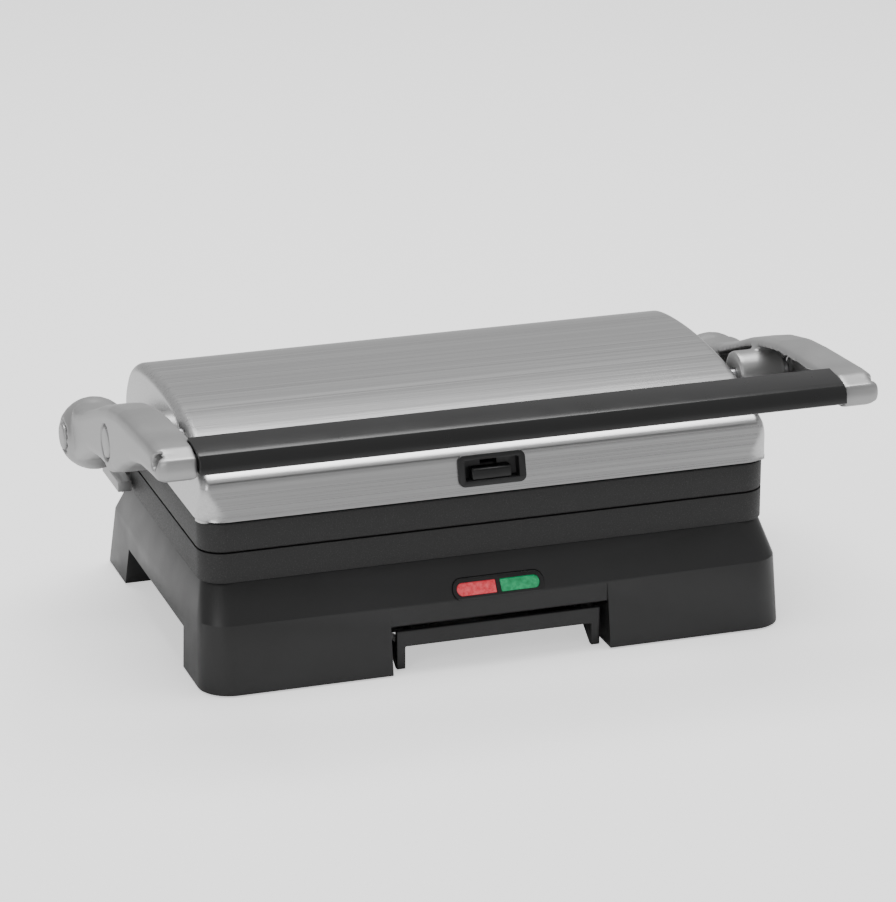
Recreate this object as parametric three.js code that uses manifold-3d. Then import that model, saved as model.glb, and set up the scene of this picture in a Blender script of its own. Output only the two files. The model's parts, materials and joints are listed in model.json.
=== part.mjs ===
// Compact panini press: base with a lower grill plate, floating hinge posts,
// a hooded cover on two cast arms, a storage latch and a front drip tray.
// Millimetres. +X right, +Y to the rear, +Z up; origin under the middle of the whole press.
import * as THREE from "three";
import { mergeVertices } from "three/addons/utils/BufferGeometryUtils.js";
import Module from "manifold-3d";

const wasm = await Module();
wasm.setup();

// ---------- fits ----------
const GAP = 0.3;             // clearance between touching pieces
const RUN = 0.4;             // clearance of sliding pieces
const SINK = 0.5;            // overlap used when two shapes of one piece are joined

// ---------- grill plates: the sizes that the rest is built round ----------
const PLATE_HALF_W = 145.5;
const PLATE_FRONT = -62.3;
const PLATE_REAR = 92;
const PLATE_R = 13;
const PLATE_H = 15;
const SEAM_GAP = 0.5;        // between the closed plates
const PLATE_FIT = 0.15;      // under the lower plate
const RIM_W = 7;
const GRILL_DEPTH = 6;
const RIB_PITCH = 19;
const RIB_W = 7;
const RIB_TOP_W = 4;
const RIB_END_GAP = 9;
const RIB_BELOW_RIM = 0.8;
const DRAIN_Y = PLATE_FRONT + 12.3;
const DRAIN_R = 4.5;

// ---------- base ----------
const DECK_HALF_W = PLATE_HALF_W - 1.5;
const LEDGE_HALF_W = DECK_HALF_W + 4.8;
const BASE_HALF_W = LEDGE_HALF_W + 0.9;      // at the floor
const DECK_FRONT = PLATE_FRONT + 0.3;
const LEDGE_FRONT = DECK_FRONT - 12;
const BASE_FRONT = LEDGE_FRONT - 5.5;
const DECK_REAR = PLATE_REAR + 2;
const LEDGE_REAR = DECK_REAR + 12.5;
const BASE_REAR = LEDGE_REAR + 13;
const DECK_Z = 51.8;
const LEDGE_Z = DECK_Z - 17.4;
const BASE_CORNER_R = 16;
const BASE_REAR_R = 6;
const WALL = 3;
const HOUSING_Z = 0.8;       // lower rim of the housing above the floor
const ARCH_Z = 22;           // top of the openings between the feet
const SIDE_ARCH_FRONT = BASE_FRONT + 43.5;
const SIDE_ARCH_REAR_TOP = DECK_REAR - 21;
const SIDE_ARCH_REAR_FOOT = SIDE_ARCH_REAR_TOP + 9;
const REAR_ARCH_HALF_W = BASE_HALF_W - 44.7;
const FRONT_FOOT_Y = BASE_FRONT + 23.5;
const REAR_FOOT_Y = BASE_REAR - 20.5;
const FOOT_X = BASE_HALF_W - 21.7;
const FRONT_PAD_R = 12;
const REAR_PAD_R = 8;
const COVER_T = 2.5;

// ---------- heating ----------
const ELEMENT_R = 3.2;
const ELEMENT_HALF_W = PLATE_HALF_W - 50.5;
const ELEMENT_FRONT = PLATE_FRONT + 38.3;
const ELEMENT_REAR = PLATE_REAR - 28;
const PAN_HALF_W = PLATE_HALF_W - 21.5;
const PAN_FRONT = PLATE_FRONT + 23.3;
const PAN_REAR = PLATE_REAR - 12;
const PAN_H = 9;
const PAN_T = 1;
const PAN_R = 8;

// ---------- levels above the base ----------
const SEAM_Z = DECK_Z + PLATE_FIT + PLATE_H + SEAM_GAP / 2;
const LINER_LOW = SEAM_Z + SEAM_GAP / 2 + PLATE_H + 0.25;
const HOOD_LOW = LINER_LOW + 0.9;

// ---------- hinge ----------
const HINGE_Y = PLATE_REAR + 8.5;
const HINGE_Z = SEAM_Z + 5.3;
const PIN_R = 2.5;
const PIN_FIT = 0.05;
const POST_X = PLATE_HALF_W - 7.5;
const POST_T = 6;
const POST_HALF_Y = 4.5;
const POST_FOOT_Z = ARCH_Z + 8;
const EYE_R = 6.5;
const LUG_T = 6;
const LUG_X = PLATE_HALF_W + 2.3;            // inner face of the arm's hinge lug
const BRACKET_TOP = DECK_Z + 6.7;
const BRACKET_LOW = DECK_Z + 1.4;
const BRACKET_ROOT = DECK_Z - 7.8;
const BRACKET_OUT = LUG_X + 5.7;
const BRACKET_FRONT = DECK_REAR - 20;
const BRACKET_REAR = HINGE_Y + 7.3;
const BRACKET_ARM = 8;                       // reach of the bracket to each side of the post

// ---------- hood ----------
const HOOD_HALF_W = PLATE_HALF_W + 1.1;
const HOOD_TOP_HALF_W = HOOD_HALF_W - 5.2;
const HOOD_FRONT = PLATE_FRONT - 1.7;
const HOOD_REAR = PLATE_REAR + 0.3;
const HOOD_R = 14;
const HOOD_T = 1.4;
const HOOD_LEAN = 0.275;                     // rearward slope of the front, mm per mm of height
const HOOD_SHOULDER_Z = HOOD_LOW + 16.4;
const HOOD_TOP_Z = HOOD_LOW + 40.6;
const LINER_TOP = HOOD_LOW + 3;

// ---------- arms and handle ----------
const ARM_IN = PLATE_HALF_W + 11.5;
const ARM_OUT = ARM_IN + 23;
const ARM_BEVEL = 5;
const ARM_WALL = 5;
const ARM_SKIN = 4.6;
const KNUCKLE_X = ARM_IN + 9.5;
const KNUCKLE_Y = HINGE_Y - 33.5;
const KNUCKLE_Z = HINGE_Z + 16.5;
const KNUCKLE_R = 18.5;
const HUMP_Y = (HOOD_FRONT + HOOD_REAR) / 2 - 28.15;
const HUMP_Z = HOOD_LOW + 28.9;
const HUMP_R = 16;
const BOSS_R = 12;
const CAP_R = 7.6;
const CAP_GROOVE = 1.5;
const CAP_T = 3;
const REAR_CAP_R = 6.8;
const BOLT_R = 3;
const BAR_HALF_W = ARM_IN + 3.4;
const BAR_FRONT = HOOD_FRONT - 55.5;
const BAR_REAR = BAR_FRONT + 23.5;
const BAR_LOW = HOOD_LOW + 45.4;
const BAR_TOP = BAR_LOW + 11.8;
const CORE_R = 3.2;

// ---------- tray ----------
const TRAY_FRONT_HALF_W = 52.5;
const TRAY_HALF_W = TRAY_FRONT_HALF_W - 8.5;
const NOTCH_HALF_W = TRAY_FRONT_HALF_W + 3.5;
const TRAY_FRONT_Y = LEDGE_FRONT + 0.5;
const TRAY_FRONT_T = 3;
const TRAY_LOW = 12.5;
const TRAY_TOP = ARCH_Z - 1.2;
const TRAY_BACK = 30;
const TRAY_WALL = 1.6;
const FLANGE_W = 5;
const FLANGE_T = 2;
const LEG_T = 4.5;
const LEG_RUN = 20;
const LEG_FOOT_Z = 1;

// ---------- latch and lights ----------
const LATCH_Z = HOOD_LOW + 11.4;
const LATCH_W = 34.4;
const LATCH_H = 14.8;
const LATCH_FRAME_W = 3.3;   // frame beside the window
const LATCH_FRAME_H = 2.4;   // frame over and under it
const LATCH_WINDOW_W = LATCH_W - 2 * LATCH_FRAME_W;
const LATCH_WINDOW_H = LATCH_H - 2 * LATCH_FRAME_H;
const LATCH_PROUD = 1.2;
const SLIDER_TRAVEL = 4;
const SLIDER_W = LATCH_WINDOW_W - 7.8;
const SLIDER_H = LATCH_WINDOW_H - SLIDER_TRAVEL - 2 * GAP;
const LIGHT_HALF_W = 23.4;
const LIGHT_H = 9.2;
const LIGHT_Z = ARCH_Z + 0.537 * (DECK_Z - ARCH_Z);
const LENS_INSET = 2;
const LENS_H = LIGHT_H - 3.4;
const LENS_BAR = 1;          // half width of the bar between the two lenses

// ---------- materials: colour, roughness, metalness ----------
const finish = (color, roughness, metalness) =>
  new THREE.MeshStandardMaterial({ color, roughness, metalness });
const BLACK = finish(0x1d1d1f, 0.45, 0);
const BAR_BLACK = finish(0x161617, 0.3, 0);
const IRON = finish(0x151516, 0.75, 0.2);
const STEEL = finish(0xb9bbbe, 0.32, 1);
const CAST = finish(0xb4b5b7, 0.5, 0.9);
const ZINC = finish(0x9c9ea1, 0.4, 1);
const RUBBER = finish(0x0e0e0f, 0.9, 0);
const RED = finish(0xd9434c, 0.3, 0);
const GREEN = finish(0x12a564, 0.3, 0);
const BOARD = finish(0x1f5b35, 0.6, 0);
const WHITE = finish(0xdcdcd6, 0.5, 0);

const press = new THREE.Group();
press.name = "panini_press";

// ---------- shape helpers ----------
function solid(geometry) {
  const bare = geometry.clone();
  bare.deleteAttribute("normal");
  bare.deleteAttribute("uv");
  const g = mergeVertices(bare, 1e-4);
  const index = g.index.array;
  return new wasm.Manifold(new wasm.Mesh({
    numProp: 3,
    vertProperties: new Float32Array(g.attributes.position.array),
    triVerts: new Uint32Array(index),
  }));
}

function add(name, shape, material) {
  const m = shape.getMesh();
  const g = new THREE.BufferGeometry();
  g.setAttribute("position", new THREE.BufferAttribute(new Float32Array(m.vertProperties), 3));
  g.setIndex(new THREE.BufferAttribute(new Uint32Array(m.triVerts), 1));
  g.computeVertexNormals();
  const mesh = new THREE.Mesh(g, material);
  mesh.name = name;
  press.add(mesh);
}

const join = (...shapes) => shapes.reduce((a, b) => a.add(b));
const cut = (shape, ...tools) => tools.reduce((a, b) => a.subtract(b), shape);

function box(x0, x1, y0, y1, z0, z1) {
  const g = new THREE.BoxGeometry(x1 - x0, y1 - y0, z1 - z0);
  g.translate((x0 + x1) / 2, (y0 + y1) / 2, (z0 + z1) / 2);
  return solid(g);
}

// Cylinder along "x", "y" or "z" from lo to hi; a and b are the other two centre coordinates.
function rod(axis, a, b, r, lo, hi, segments = 24) {
  const g = new THREE.CylinderGeometry(r, r, hi - lo, segments);
  const mid = (lo + hi) / 2;
  if (axis === "x") g.rotateZ(Math.PI / 2).translate(mid, a, b);
  else if (axis === "y") g.translate(a, mid, b);
  else g.rotateX(Math.PI / 2).translate(a, b, mid);
  return solid(g);
}

function roundRect(x0, x1, y0, y1, r, rearR = r) {
  const s = new THREE.Shape();
  s.moveTo(x0 + r, y0);
  s.lineTo(x1 - r, y0);
  s.absarc(x1 - r, y0 + r, r, -Math.PI / 2, 0);
  s.lineTo(x1, y1 - rearR);
  s.absarc(x1 - rearR, y1 - rearR, rearR, 0, Math.PI / 2);
  s.lineTo(x0 + rearR, y1);
  s.absarc(x0 + rearR, y1 - rearR, rearR, Math.PI / 2, Math.PI);
  s.lineTo(x0, y0 + r);
  s.absarc(x0 + r, y0 + r, r, Math.PI, 1.5 * Math.PI);
  return s;
}

function circle(a, b, r) {
  const s = new THREE.Shape();
  s.absarc(a, b, r, 0, 2 * Math.PI);
  return s;
}

function outline(points) {
  return new THREE.Shape(points.map(([a, b]) => new THREE.Vector2(a, b)));
}

// Upright prism over a plan shape.
function prismZ(shape, z0, z1, curveSegments = 6) {
  const g = new THREE.ExtrudeGeometry(shape, { depth: z1 - z0, bevelEnabled: false, curveSegments });
  return solid(g.translate(0, 0, z0));
}

// Prism along X over a side shape drawn in (y, z).
function prismX(shape, x0, x1, curveSegments = 6) {
  const g = new THREE.ExtrudeGeometry(shape, { depth: x1 - x0, bevelEnabled: false, curveSegments });
  g.rotateY(Math.PI / 2).rotateX(Math.PI / 2);
  return solid(g.translate(x0, 0, 0));
}

// Prism along Y over a front shape drawn in (x, z).
function prismY(shape, y0, y1, curveSegments = 6) {
  const g = new THREE.ExtrudeGeometry(shape, { depth: y1 - y0, bevelEnabled: false, curveSegments });
  return solid(g.rotateX(Math.PI / 2).translate(0, y1, 0));
}

// Rounded-rectangle prism whose half width and front and rear lines change from level to level.
function loft(levels, r, rearR = r, curveSegments = 6) {
  const unit = levels[0];
  const steps = levels.length - 1;
  const plan = roundRect(-unit.half, unit.half, unit.front, unit.rear, r, rearR);
  const g = new THREE.ExtrudeGeometry(plan, { depth: steps, steps, bevelEnabled: false, curveSegments });
  const p = g.attributes.position;
  for (let i = 0; i < p.count; i += 1) {
    const to = levels[Math.round(p.getZ(i))];
    const along = (p.getY(i) - unit.front) / (unit.rear - unit.front);
    p.setXYZ(i, p.getX(i) * to.half / unit.half, to.front + along * (to.rear - to.front), to.z);
  }
  return solid(g);
}

// Copy of a shape with one coordinate (0 = x, 2 = z) reflected about a plane.
function reflect(shape, axis, plane) {
  const m = shape.getMesh();
  const points = new Float32Array(m.vertProperties);
  for (let i = axis; i < points.length; i += 3) points[i] = 2 * plane - points[i];
  const faces = new Uint32Array(m.triVerts);
  for (let i = 0; i < faces.length; i += 3) [faces[i], faces[i + 1]] = [faces[i + 1], faces[i]];
  return new wasm.Manifold(new wasm.Mesh({ numProp: 3, vertProperties: points, triVerts: faces }));
}

// Adds a left and a right copy of a shape modelled on the right-hand side.
function addPair(name, shape, material) {
  add(`right_${name}`, shape, material);
  add(`left_${name}`, reflect(shape, 0, 0), material);
}

// Prism along X with rounded rims; the side shape keeps its full outline between the rims.
function softPrismX(shape, x0, x1, bevel, bevelSegments = 2) {
  const g = new THREE.ExtrudeGeometry(shape, {
    depth: x1 - x0 - 2 * bevel, bevelEnabled: true, bevelThickness: bevel, bevelSize: bevel,
    bevelOffset: -bevel, bevelSegments, curveSegments: 4,
  });
  g.rotateY(Math.PI / 2).rotateX(Math.PI / 2);
  return solid(g.translate(x0 + bevel, 0, 0));
}

// ---------- base ----------
// Outside of the housing grown by `grow` sideways; negative values give the inside.
function housingBody(grow, lowZ, topZ) {
  const level = (half, front, rear, z) => ({ half: half + grow, front: front - grow, rear: rear + grow, z });
  return loft([
    level(BASE_HALF_W, BASE_FRONT, BASE_REAR, lowZ),
    level(LEDGE_HALF_W, LEDGE_FRONT, LEDGE_REAR, LEDGE_Z),
    level(DECK_HALF_W, DECK_FRONT, DECK_REAR, topZ),
  ], BASE_CORNER_R + grow, BASE_REAR_R + grow);
}

const padPlaces = [
  ["front_left_foot", -FOOT_X, FRONT_FOOT_Y], ["front_right_foot", FOOT_X, FRONT_FOOT_Y],
  ["rear_left_foot", -FOOT_X, REAR_FOOT_Y], ["rear_right_foot", FOOT_X, REAR_FOOT_Y],
];
const PAD_H = 2.5;
const FOOT_FLOOR_Z = 5.5;
const SCREW_X = DECK_HALF_W - 10;
const SCREW_FRONT_Y = SIDE_ARCH_FRONT + 14;
const SCREW_REAR_Y = SIDE_ARCH_REAR_TOP - 15;
const SCREW_R = 1.5;
const SCREW_HEAD_R = 3.2;
const SCREW_HEAD_H = 1.8;
const SCREW_TOP = DECK_Z - 15.8;
const SCREW_BOSS_R = 4.5;
const COVER_LOW = ARCH_Z + GAP;
const COVER_HIGH = COVER_LOW + COVER_T;
const NOTCH_TOP = TRAY_TOP + 3.4;
const NOTCH_FACE_Y = LEDGE_FRONT;
const INLET_X = 70;
const INLET_R = 6;
const INLET_Z = COVER_HIGH + GAP + INLET_R;
const INLET_BORE_R = 3.6;
const INLET_IN = DECK_REAR + 6;
const INLET_OUT = INLET_IN + 9;
const WINDOW = 1;            // margin of an opening round what passes through it
const screwPlaces = [[-SCREW_X, SCREW_FRONT_Y], [SCREW_X, SCREW_FRONT_Y],
  [-SCREW_X, SCREW_REAR_Y], [SCREW_X, SCREW_REAR_Y]];
const FAR = 500;             // beyond everything

const pill = (halfW, height, z) =>
  roundRect(-halfW, halfW, z - height / 2, z + height / 2, height / 2 - 0.01);

function baseHousing() {
  const inside = housingBody(-WALL, -1, DECK_Z - WALL);
  const upper = box(-FAR, FAR, -FAR, FAR, ARCH_Z, DECK_Z);
  const pocket = (x, y0, y1) => box(x, FAR, y0, y1, FOOT_FLOOR_Z, ARCH_Z + SINK);
  const front = pocket(NOTCH_HALF_W + WALL, -FAR, SIDE_ARCH_FRONT - WALL);
  const rear = pocket(REAR_ARCH_HALF_W + WALL, SIDE_ARCH_REAR_FOOT + WALL, FAR);
  const room = join(upper, front, rear, reflect(front, 0, 0), reflect(rear, 0, 0)).intersect(inside);
  const arch = prismX(outline([[SIDE_ARCH_FRONT, -1], [SIDE_ARCH_REAR_FOOT, -1],
    [SIDE_ARCH_REAR_TOP, ARCH_Z], [SIDE_ARCH_FRONT, ARCH_Z]]), -FAR, FAR);
  let body = cut(housingBody(0, HOUSING_Z, DECK_Z), room, arch,
    box(-NOTCH_HALF_W, NOTCH_HALF_W, -FAR, SIDE_ARCH_FRONT + SINK, -1, NOTCH_TOP),
    box(-NOTCH_HALF_W, NOTCH_HALF_W, -FAR, NOTCH_FACE_Y, -1, LEDGE_Z - WINDOW),
    box(-REAR_ARCH_HALF_W, REAR_ARCH_HALF_W, SIDE_ARCH_REAR_TOP - SINK, FAR, -1, ARCH_Z));
  for (const [x, y] of screwPlaces) {
    body = body.add(rod("z", x, y, SCREW_BOSS_R, COVER_HIGH + GAP, DECK_Z - WALL + SINK, 12));
    body = body.subtract(rod("z", x, y, SCREW_R + 0.1, ARCH_Z, SCREW_TOP + 1, 12));
  }
  for (const [, x, y] of padPlaces) {
    const r = y > 0 ? REAR_PAD_R : FRONT_PAD_R;
    body = body.subtract(rod("z", x, y, r + GAP, 0, PAD_H + GAP));
  }
  const post = box(POST_X - POST_T / 2 - RUN, POST_X + POST_T / 2 + RUN,
    HINGE_Y - POST_HALF_Y - RUN, HINGE_Y + POST_HALF_Y + RUN, POST_FOOT_Z - 2, FAR);
  return cut(body, post, reflect(post, 0, 0),
    box(-PAN_HALF_W - WINDOW, PAN_HALF_W + WINDOW, PAN_FRONT - WINDOW, PAN_REAR + WINDOW, DECK_Z - WALL - 1,
      DECK_Z + 1),
    rod("z", 0, DRAIN_Y, DRAIN_R + 2, DECK_Z - WALL - 1, DECK_Z + 1),
    prismY(pill(LIGHT_HALF_W + GAP, LIGHT_H + 2 * GAP, LIGHT_Z), -FAR, DECK_FRONT + 2),
    rod("y", INLET_X, INLET_Z, INLET_R + GAP, INLET_IN - 5, FAR));
}

const RAIL_LIP_LOW = TRAY_TOP - 4.8;
const RAIL_T = 2.4;
const RAIL_OUT = TRAY_HALF_W + FLANGE_W + RAIL_T + 1.1;
const RAIL_FIT = 1.5;        // sideways play of the tray between the rails

function bottomCover() {
  const inset = WALL + GAP;
  const half = LEDGE_HALF_W - inset;
  const plan = roundRect(-half, half, LEDGE_FRONT + inset, LEDGE_REAR - inset, BASE_CORNER_R - inset);
  const flange = TRAY_TOP - FLANGE_T;
  const rail = join(
    box(RAIL_OUT - RAIL_T, RAIL_OUT, DECK_FRONT, TRAY_BACK, RAIL_LIP_LOW, COVER_LOW + SINK),
    box(TRAY_HALF_W + RAIL_FIT, RAIL_OUT, DECK_FRONT, TRAY_BACK, RAIL_LIP_LOW, flange - GAP));
  let body = join(prismZ(plan, COVER_LOW, COVER_HIGH), rail, reflect(rail, 0, 0));
  for (const [x, y] of screwPlaces) body = body.subtract(rod("z", x, y, SCREW_R + GAP, 0, FAR, 12));
  return body.subtract(rod("z", 0, DRAIN_Y, DRAIN_R + 3, 0, FAR));
}

function hingeBracket() {
  const inner = POST_X - BRACKET_ARM;
  const wing = box(inner, BRACKET_OUT, BRACKET_FRONT, BRACKET_REAR, BRACKET_LOW, BRACKET_TOP);
  const root = box(inner, POST_X + BRACKET_ARM, DECK_REAR, BRACKET_REAR, BRACKET_ROOT, BRACKET_LOW + SINK);
  return cut(join(wing, root), box(-FAR, PLATE_HALF_W + WINDOW, -FAR, DECK_REAR + 2 * GAP, 0, FAR),
    housingBody(GAP, 0, DECK_Z + GAP),
    box(POST_X - POST_T / 2 - RUN, POST_X + POST_T / 2 + RUN,
      HINGE_Y - POST_HALF_Y - RUN, HINGE_Y + POST_HALF_Y + RUN, 0, FAR));
}

add("base_housing", baseHousing(), BLACK);
add("bottom_cover", bottomCover(), BLACK);
for (const [name, x, y] of padPlaces) {
  add(name, rod("z", x, y, y > 0 ? REAR_PAD_R : FRONT_PAD_R, 0, PAD_H), RUBBER);
}
screwPlaces.forEach(([x, y], i) => {
  add(`cover_screw_${i + 1}`, join(rod("z", x, y, SCREW_R, COVER_LOW - SINK, SCREW_TOP, 12),
    rod("z", x, y, SCREW_HEAD_R, COVER_LOW - GAP - SCREW_HEAD_H, COVER_LOW - GAP, 12)), ZINC);
});
addPair("hinge_bracket", hingeBracket(), CAST);

// ---------- lights ----------
const LIGHT_BACK = DECK_FRONT + 0.5;
const BOARD_T = 1.6;
const lightSkin = (shape, proud) =>
  prismY(shape, -FAR, LIGHT_BACK).intersect(housingBody(proud, 0, DECK_Z));
const lensHalf = LIGHT_HALF_W - LENS_INSET;
const lensWindow = pill(lensHalf, LENS_H, LIGHT_Z);
const lensBar = box(-LENS_BAR, LENS_BAR, -FAR, FAR, 0, FAR);
const lensFit = GAP / 2;
add("light_bezel", cut(lightSkin(pill(LIGHT_HALF_W, LIGHT_H, LIGHT_Z), 0.7),
  cut(prismY(lensWindow, -FAR, 0), lensBar)), BAR_BLACK);
const lens = lightSkin(pill(lensHalf - lensFit, LENS_H - 2 * lensFit, LIGHT_Z), 0.4);
add("red_light_lens", cut(lens, box(-LENS_BAR - lensFit, FAR, -FAR, FAR, 0, FAR)), RED);
add("green_light_lens", cut(lens, box(-FAR, LENS_BAR + lensFit, -FAR, FAR, 0, FAR)), GREEN);
add("light_board", box(-lensHalf, lensHalf, LIGHT_BACK + GAP, LIGHT_BACK + GAP + BOARD_T,
  COVER_HIGH + GAP, DECK_Z - 7.8), BOARD);

// ---------- base electrics ----------
const PAN_TOP = DECK_Z - 0.1;
const PAN_LOW = PAN_TOP - PAN_H;
const FUSE_R = 2.4;
const FUSE_Y = 45;
const BLOCK_X = 52;
const BLOCK_Y = 69;
const BLOCK_LENGTH = 28;
const BLOCK_W = 14;
const BLOCK_HOLE_R = 2;
const BLOCK_HOLE_PITCH = 8;
const BLOCK_TOP = COVER_HIGH + 0.55 * (PAN_LOW - COVER_HIGH);
add("thermal_fuse", rod("x", FUSE_Y, COVER_HIGH + GAP + FUSE_R, FUSE_R, -42, -22, 12), WHITE);
add("terminal_block", cut(box(BLOCK_X - BLOCK_LENGTH / 2, BLOCK_X + BLOCK_LENGTH / 2,
  BLOCK_Y - BLOCK_W / 2, BLOCK_Y + BLOCK_W / 2, COVER_HIGH + GAP, BLOCK_TOP),
...[-1, 0, 1].map((k) => rod("z", BLOCK_X + k * BLOCK_HOLE_PITCH, BLOCK_Y, BLOCK_HOLE_R,
  BLOCK_TOP - 6, FAR, 8))), WHITE);
add("cord_inlet", cut(rod("y", INLET_X, INLET_Z, INLET_R, INLET_IN, INLET_OUT),
  rod("y", INLET_X, INLET_Z, INLET_BORE_R, 0, FAR)), BAR_BLACK);

// ---------- grill plates and heating ----------
const HALF_SEAM = SEAM_GAP / 2;
const RIM_TOP = SEAM_Z - HALF_SEAM;
const PLATE_LOW = RIM_TOP - PLATE_H;
const POCKET_TOP = PLATE_LOW + 5;
const POCKET_INSET = 9;
const ELEMENT_Z = POCKET_TOP - 1 - ELEMENT_R;
const TERMINAL_X = 12;
const TERMINAL_LOW = PAN_LOW - 6.7;
const SENSOR_R = 8;
const SENSOR_LOW = PAN_LOW - 2.7;
const ELEMENT_MID_Y = (ELEMENT_FRONT + ELEMENT_REAR) / 2;
const ribCount = 2 * Math.floor((PLATE_HALF_W - RIM_W - RIB_W) / RIB_PITCH) + 1;

function grillPlate(drained) {
  const plan = (inset, r) => roundRect(-PLATE_HALF_W + inset, PLATE_HALF_W - inset,
    PLATE_FRONT + inset, PLATE_REAR - inset, r);
  const floor = RIM_TOP - GRILL_DEPTH;
  let plate = cut(prismZ(plan(0, PLATE_R), PLATE_LOW, RIM_TOP),
    prismZ(plan(RIM_W, PLATE_R - 5), floor, RIM_TOP + 1, 4),
    prismZ(plan(POCKET_INSET, PLATE_R - 6), PLATE_LOW - 1, POCKET_TOP, 4));
  const ribTop = RIM_TOP - RIB_BELOW_RIM;
  const y0 = PLATE_FRONT + RIM_W + RIB_END_GAP;
  const y1 = PLATE_REAR - RIM_W - RIB_END_GAP;
  for (let i = 0; i < ribCount; i += 1) {
    const x = (i - (ribCount - 1) / 2) * RIB_PITCH;
    plate = plate.add(prismY(outline([[x - RIB_W / 2, floor - SINK], [x + RIB_W / 2, floor - SINK],
      [x + RIB_TOP_W / 2, ribTop], [x - RIB_TOP_W / 2, ribTop]]), y0, y1));
  }
  return drained ? plate.subtract(rod("z", 0, DRAIN_Y, DRAIN_R, 0, FAR)) : plate;
}

// Heating tube: a long loop lying under the plate with both ends turned down.
function heatingElement() {
  const bend = (ELEMENT_REAR - ELEMENT_FRONT) / 2;
  const side = [new THREE.Vector3(TERMINAL_X, ELEMENT_REAR, TERMINAL_LOW),
    new THREE.Vector3(TERMINAL_X, ELEMENT_REAR, ELEMENT_Z - 5),
    new THREE.Vector3(TERMINAL_X + 6, ELEMENT_REAR, ELEMENT_Z - 0.3),
    new THREE.Vector3(TERMINAL_X + 14, ELEMENT_REAR, ELEMENT_Z),
    new THREE.Vector3(ELEMENT_HALF_W - bend, ELEMENT_REAR, ELEMENT_Z)];
  for (let i = 1; i <= 6; i += 1) {
    const a = Math.PI / 2 - (Math.PI * i) / 6;
    side.push(new THREE.Vector3(ELEMENT_HALF_W - bend + bend * Math.cos(a),
      ELEMENT_MID_Y + bend * Math.sin(a), ELEMENT_Z));
  }
  const other = side.map((v) => new THREE.Vector3(-v.x, v.y, v.z)).reverse();
  const path = new THREE.CatmullRomCurve3([...side, ...other], false, "centripetal");
  const section = new THREE.Shape();
  section.absarc(0, 0, ELEMENT_R, 0, 2 * Math.PI);
  const steps = Math.round(0.36 * ELEMENT_HALF_W);
  return solid(new THREE.ExtrudeGeometry(section, { extrudePath: path, steps, curveSegments: 6 }));
}

function heatReflector() {
  const plan = (inset) => roundRect(-PAN_HALF_W + inset, PAN_HALF_W - inset,
    PAN_FRONT + inset, PAN_REAR - inset, PAN_R - inset);
  const hole = (x, y, r) => rod("z", x, y, r, 0, DECK_Z, 12);
  return cut(prismZ(plan(0), PAN_LOW, PAN_TOP, 3),
    prismZ(plan(PAN_T), PAN_LOW + PAN_T, PAN_TOP + 1, 3),
    hole(-TERMINAL_X, ELEMENT_REAR, ELEMENT_R + 1.5), hole(TERMINAL_X, ELEMENT_REAR, ELEMENT_R + 1.5),
    hole(0, ELEMENT_MID_Y, SENSOR_R + 1));
}

const overSeam = (shape) => reflect(shape, 2, SEAM_Z);
add("lower_grill_plate", grillPlate(true), IRON);
add("upper_grill_plate", overSeam(grillPlate(false)), IRON);
add("lower_heating_element", heatingElement(), ZINC);
add("upper_heating_element", overSeam(heatingElement()), ZINC);
add("lower_heat_reflector", heatReflector(), ZINC);
add("upper_heat_reflector", overSeam(heatReflector()), ZINC);
add("thermostat", rod("z", 0, ELEMENT_MID_Y, SENSOR_R, SENSOR_LOW, POCKET_TOP - GAP), WHITE);

// ---------- hinge posts ----------
const PIN_IN = POST_X - POST_T / 2 - 1.5;
const PIN_OUT = LUG_X + LUG_T + 1;
function hingePost() {
  const x0 = POST_X - POST_T / 2;
  return cut(join(
    box(x0, x0 + POST_T, HINGE_Y - POST_HALF_Y, HINGE_Y + POST_HALF_Y, POST_FOOT_Z, HINGE_Z),
    rod("x", HINGE_Y, HINGE_Z, EYE_R, x0, x0 + POST_T)),
  rod("x", HINGE_Y, HINGE_Z, PIN_R + PIN_FIT, 0, FAR));
}
addPair("hinge_post", hingePost(), ZINC);
addPair("hinge_pin", rod("x", HINGE_Y, HINGE_Z, PIN_R, PIN_IN, PIN_OUT), ZINC);

// ---------- hood ----------
// Side outline over the hood, from its front shoulder up to the flat crown and down to the rear face.
const SHOULDER_Y = HOOD_FRONT + HOOD_LEAN * (HOOD_SHOULDER_Z - HOOD_LOW);
const CROWN_Y = (HOOD_FRONT + HOOD_REAR) / 2 + 17.85;
const hoodCurve = [
  ...[[0, 0], [1.6, 2.4], [4, 4.5], [7.5, 6.4], [14.5, 10.4], [27.5, 15.8], [39.5, 19.2]]
    .map(([y, z]) => [SHOULDER_Y + y, HOOD_SHOULDER_Z + z]),
  ...[[-39, -2.6], [-20, -0.7], [0, 0], [20, -0.7]].map(([y, z]) => [CROWN_Y + y, HOOD_TOP_Z + z]),
  ...[[-24.3, -2.4], [-14.3, -4.6], [-7.3, -8], [-2.8, -12.7], [0, -20.2]]
    .map(([y, z]) => [HOOD_REAR + y, HOOD_TOP_Z + z]),
];

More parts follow.
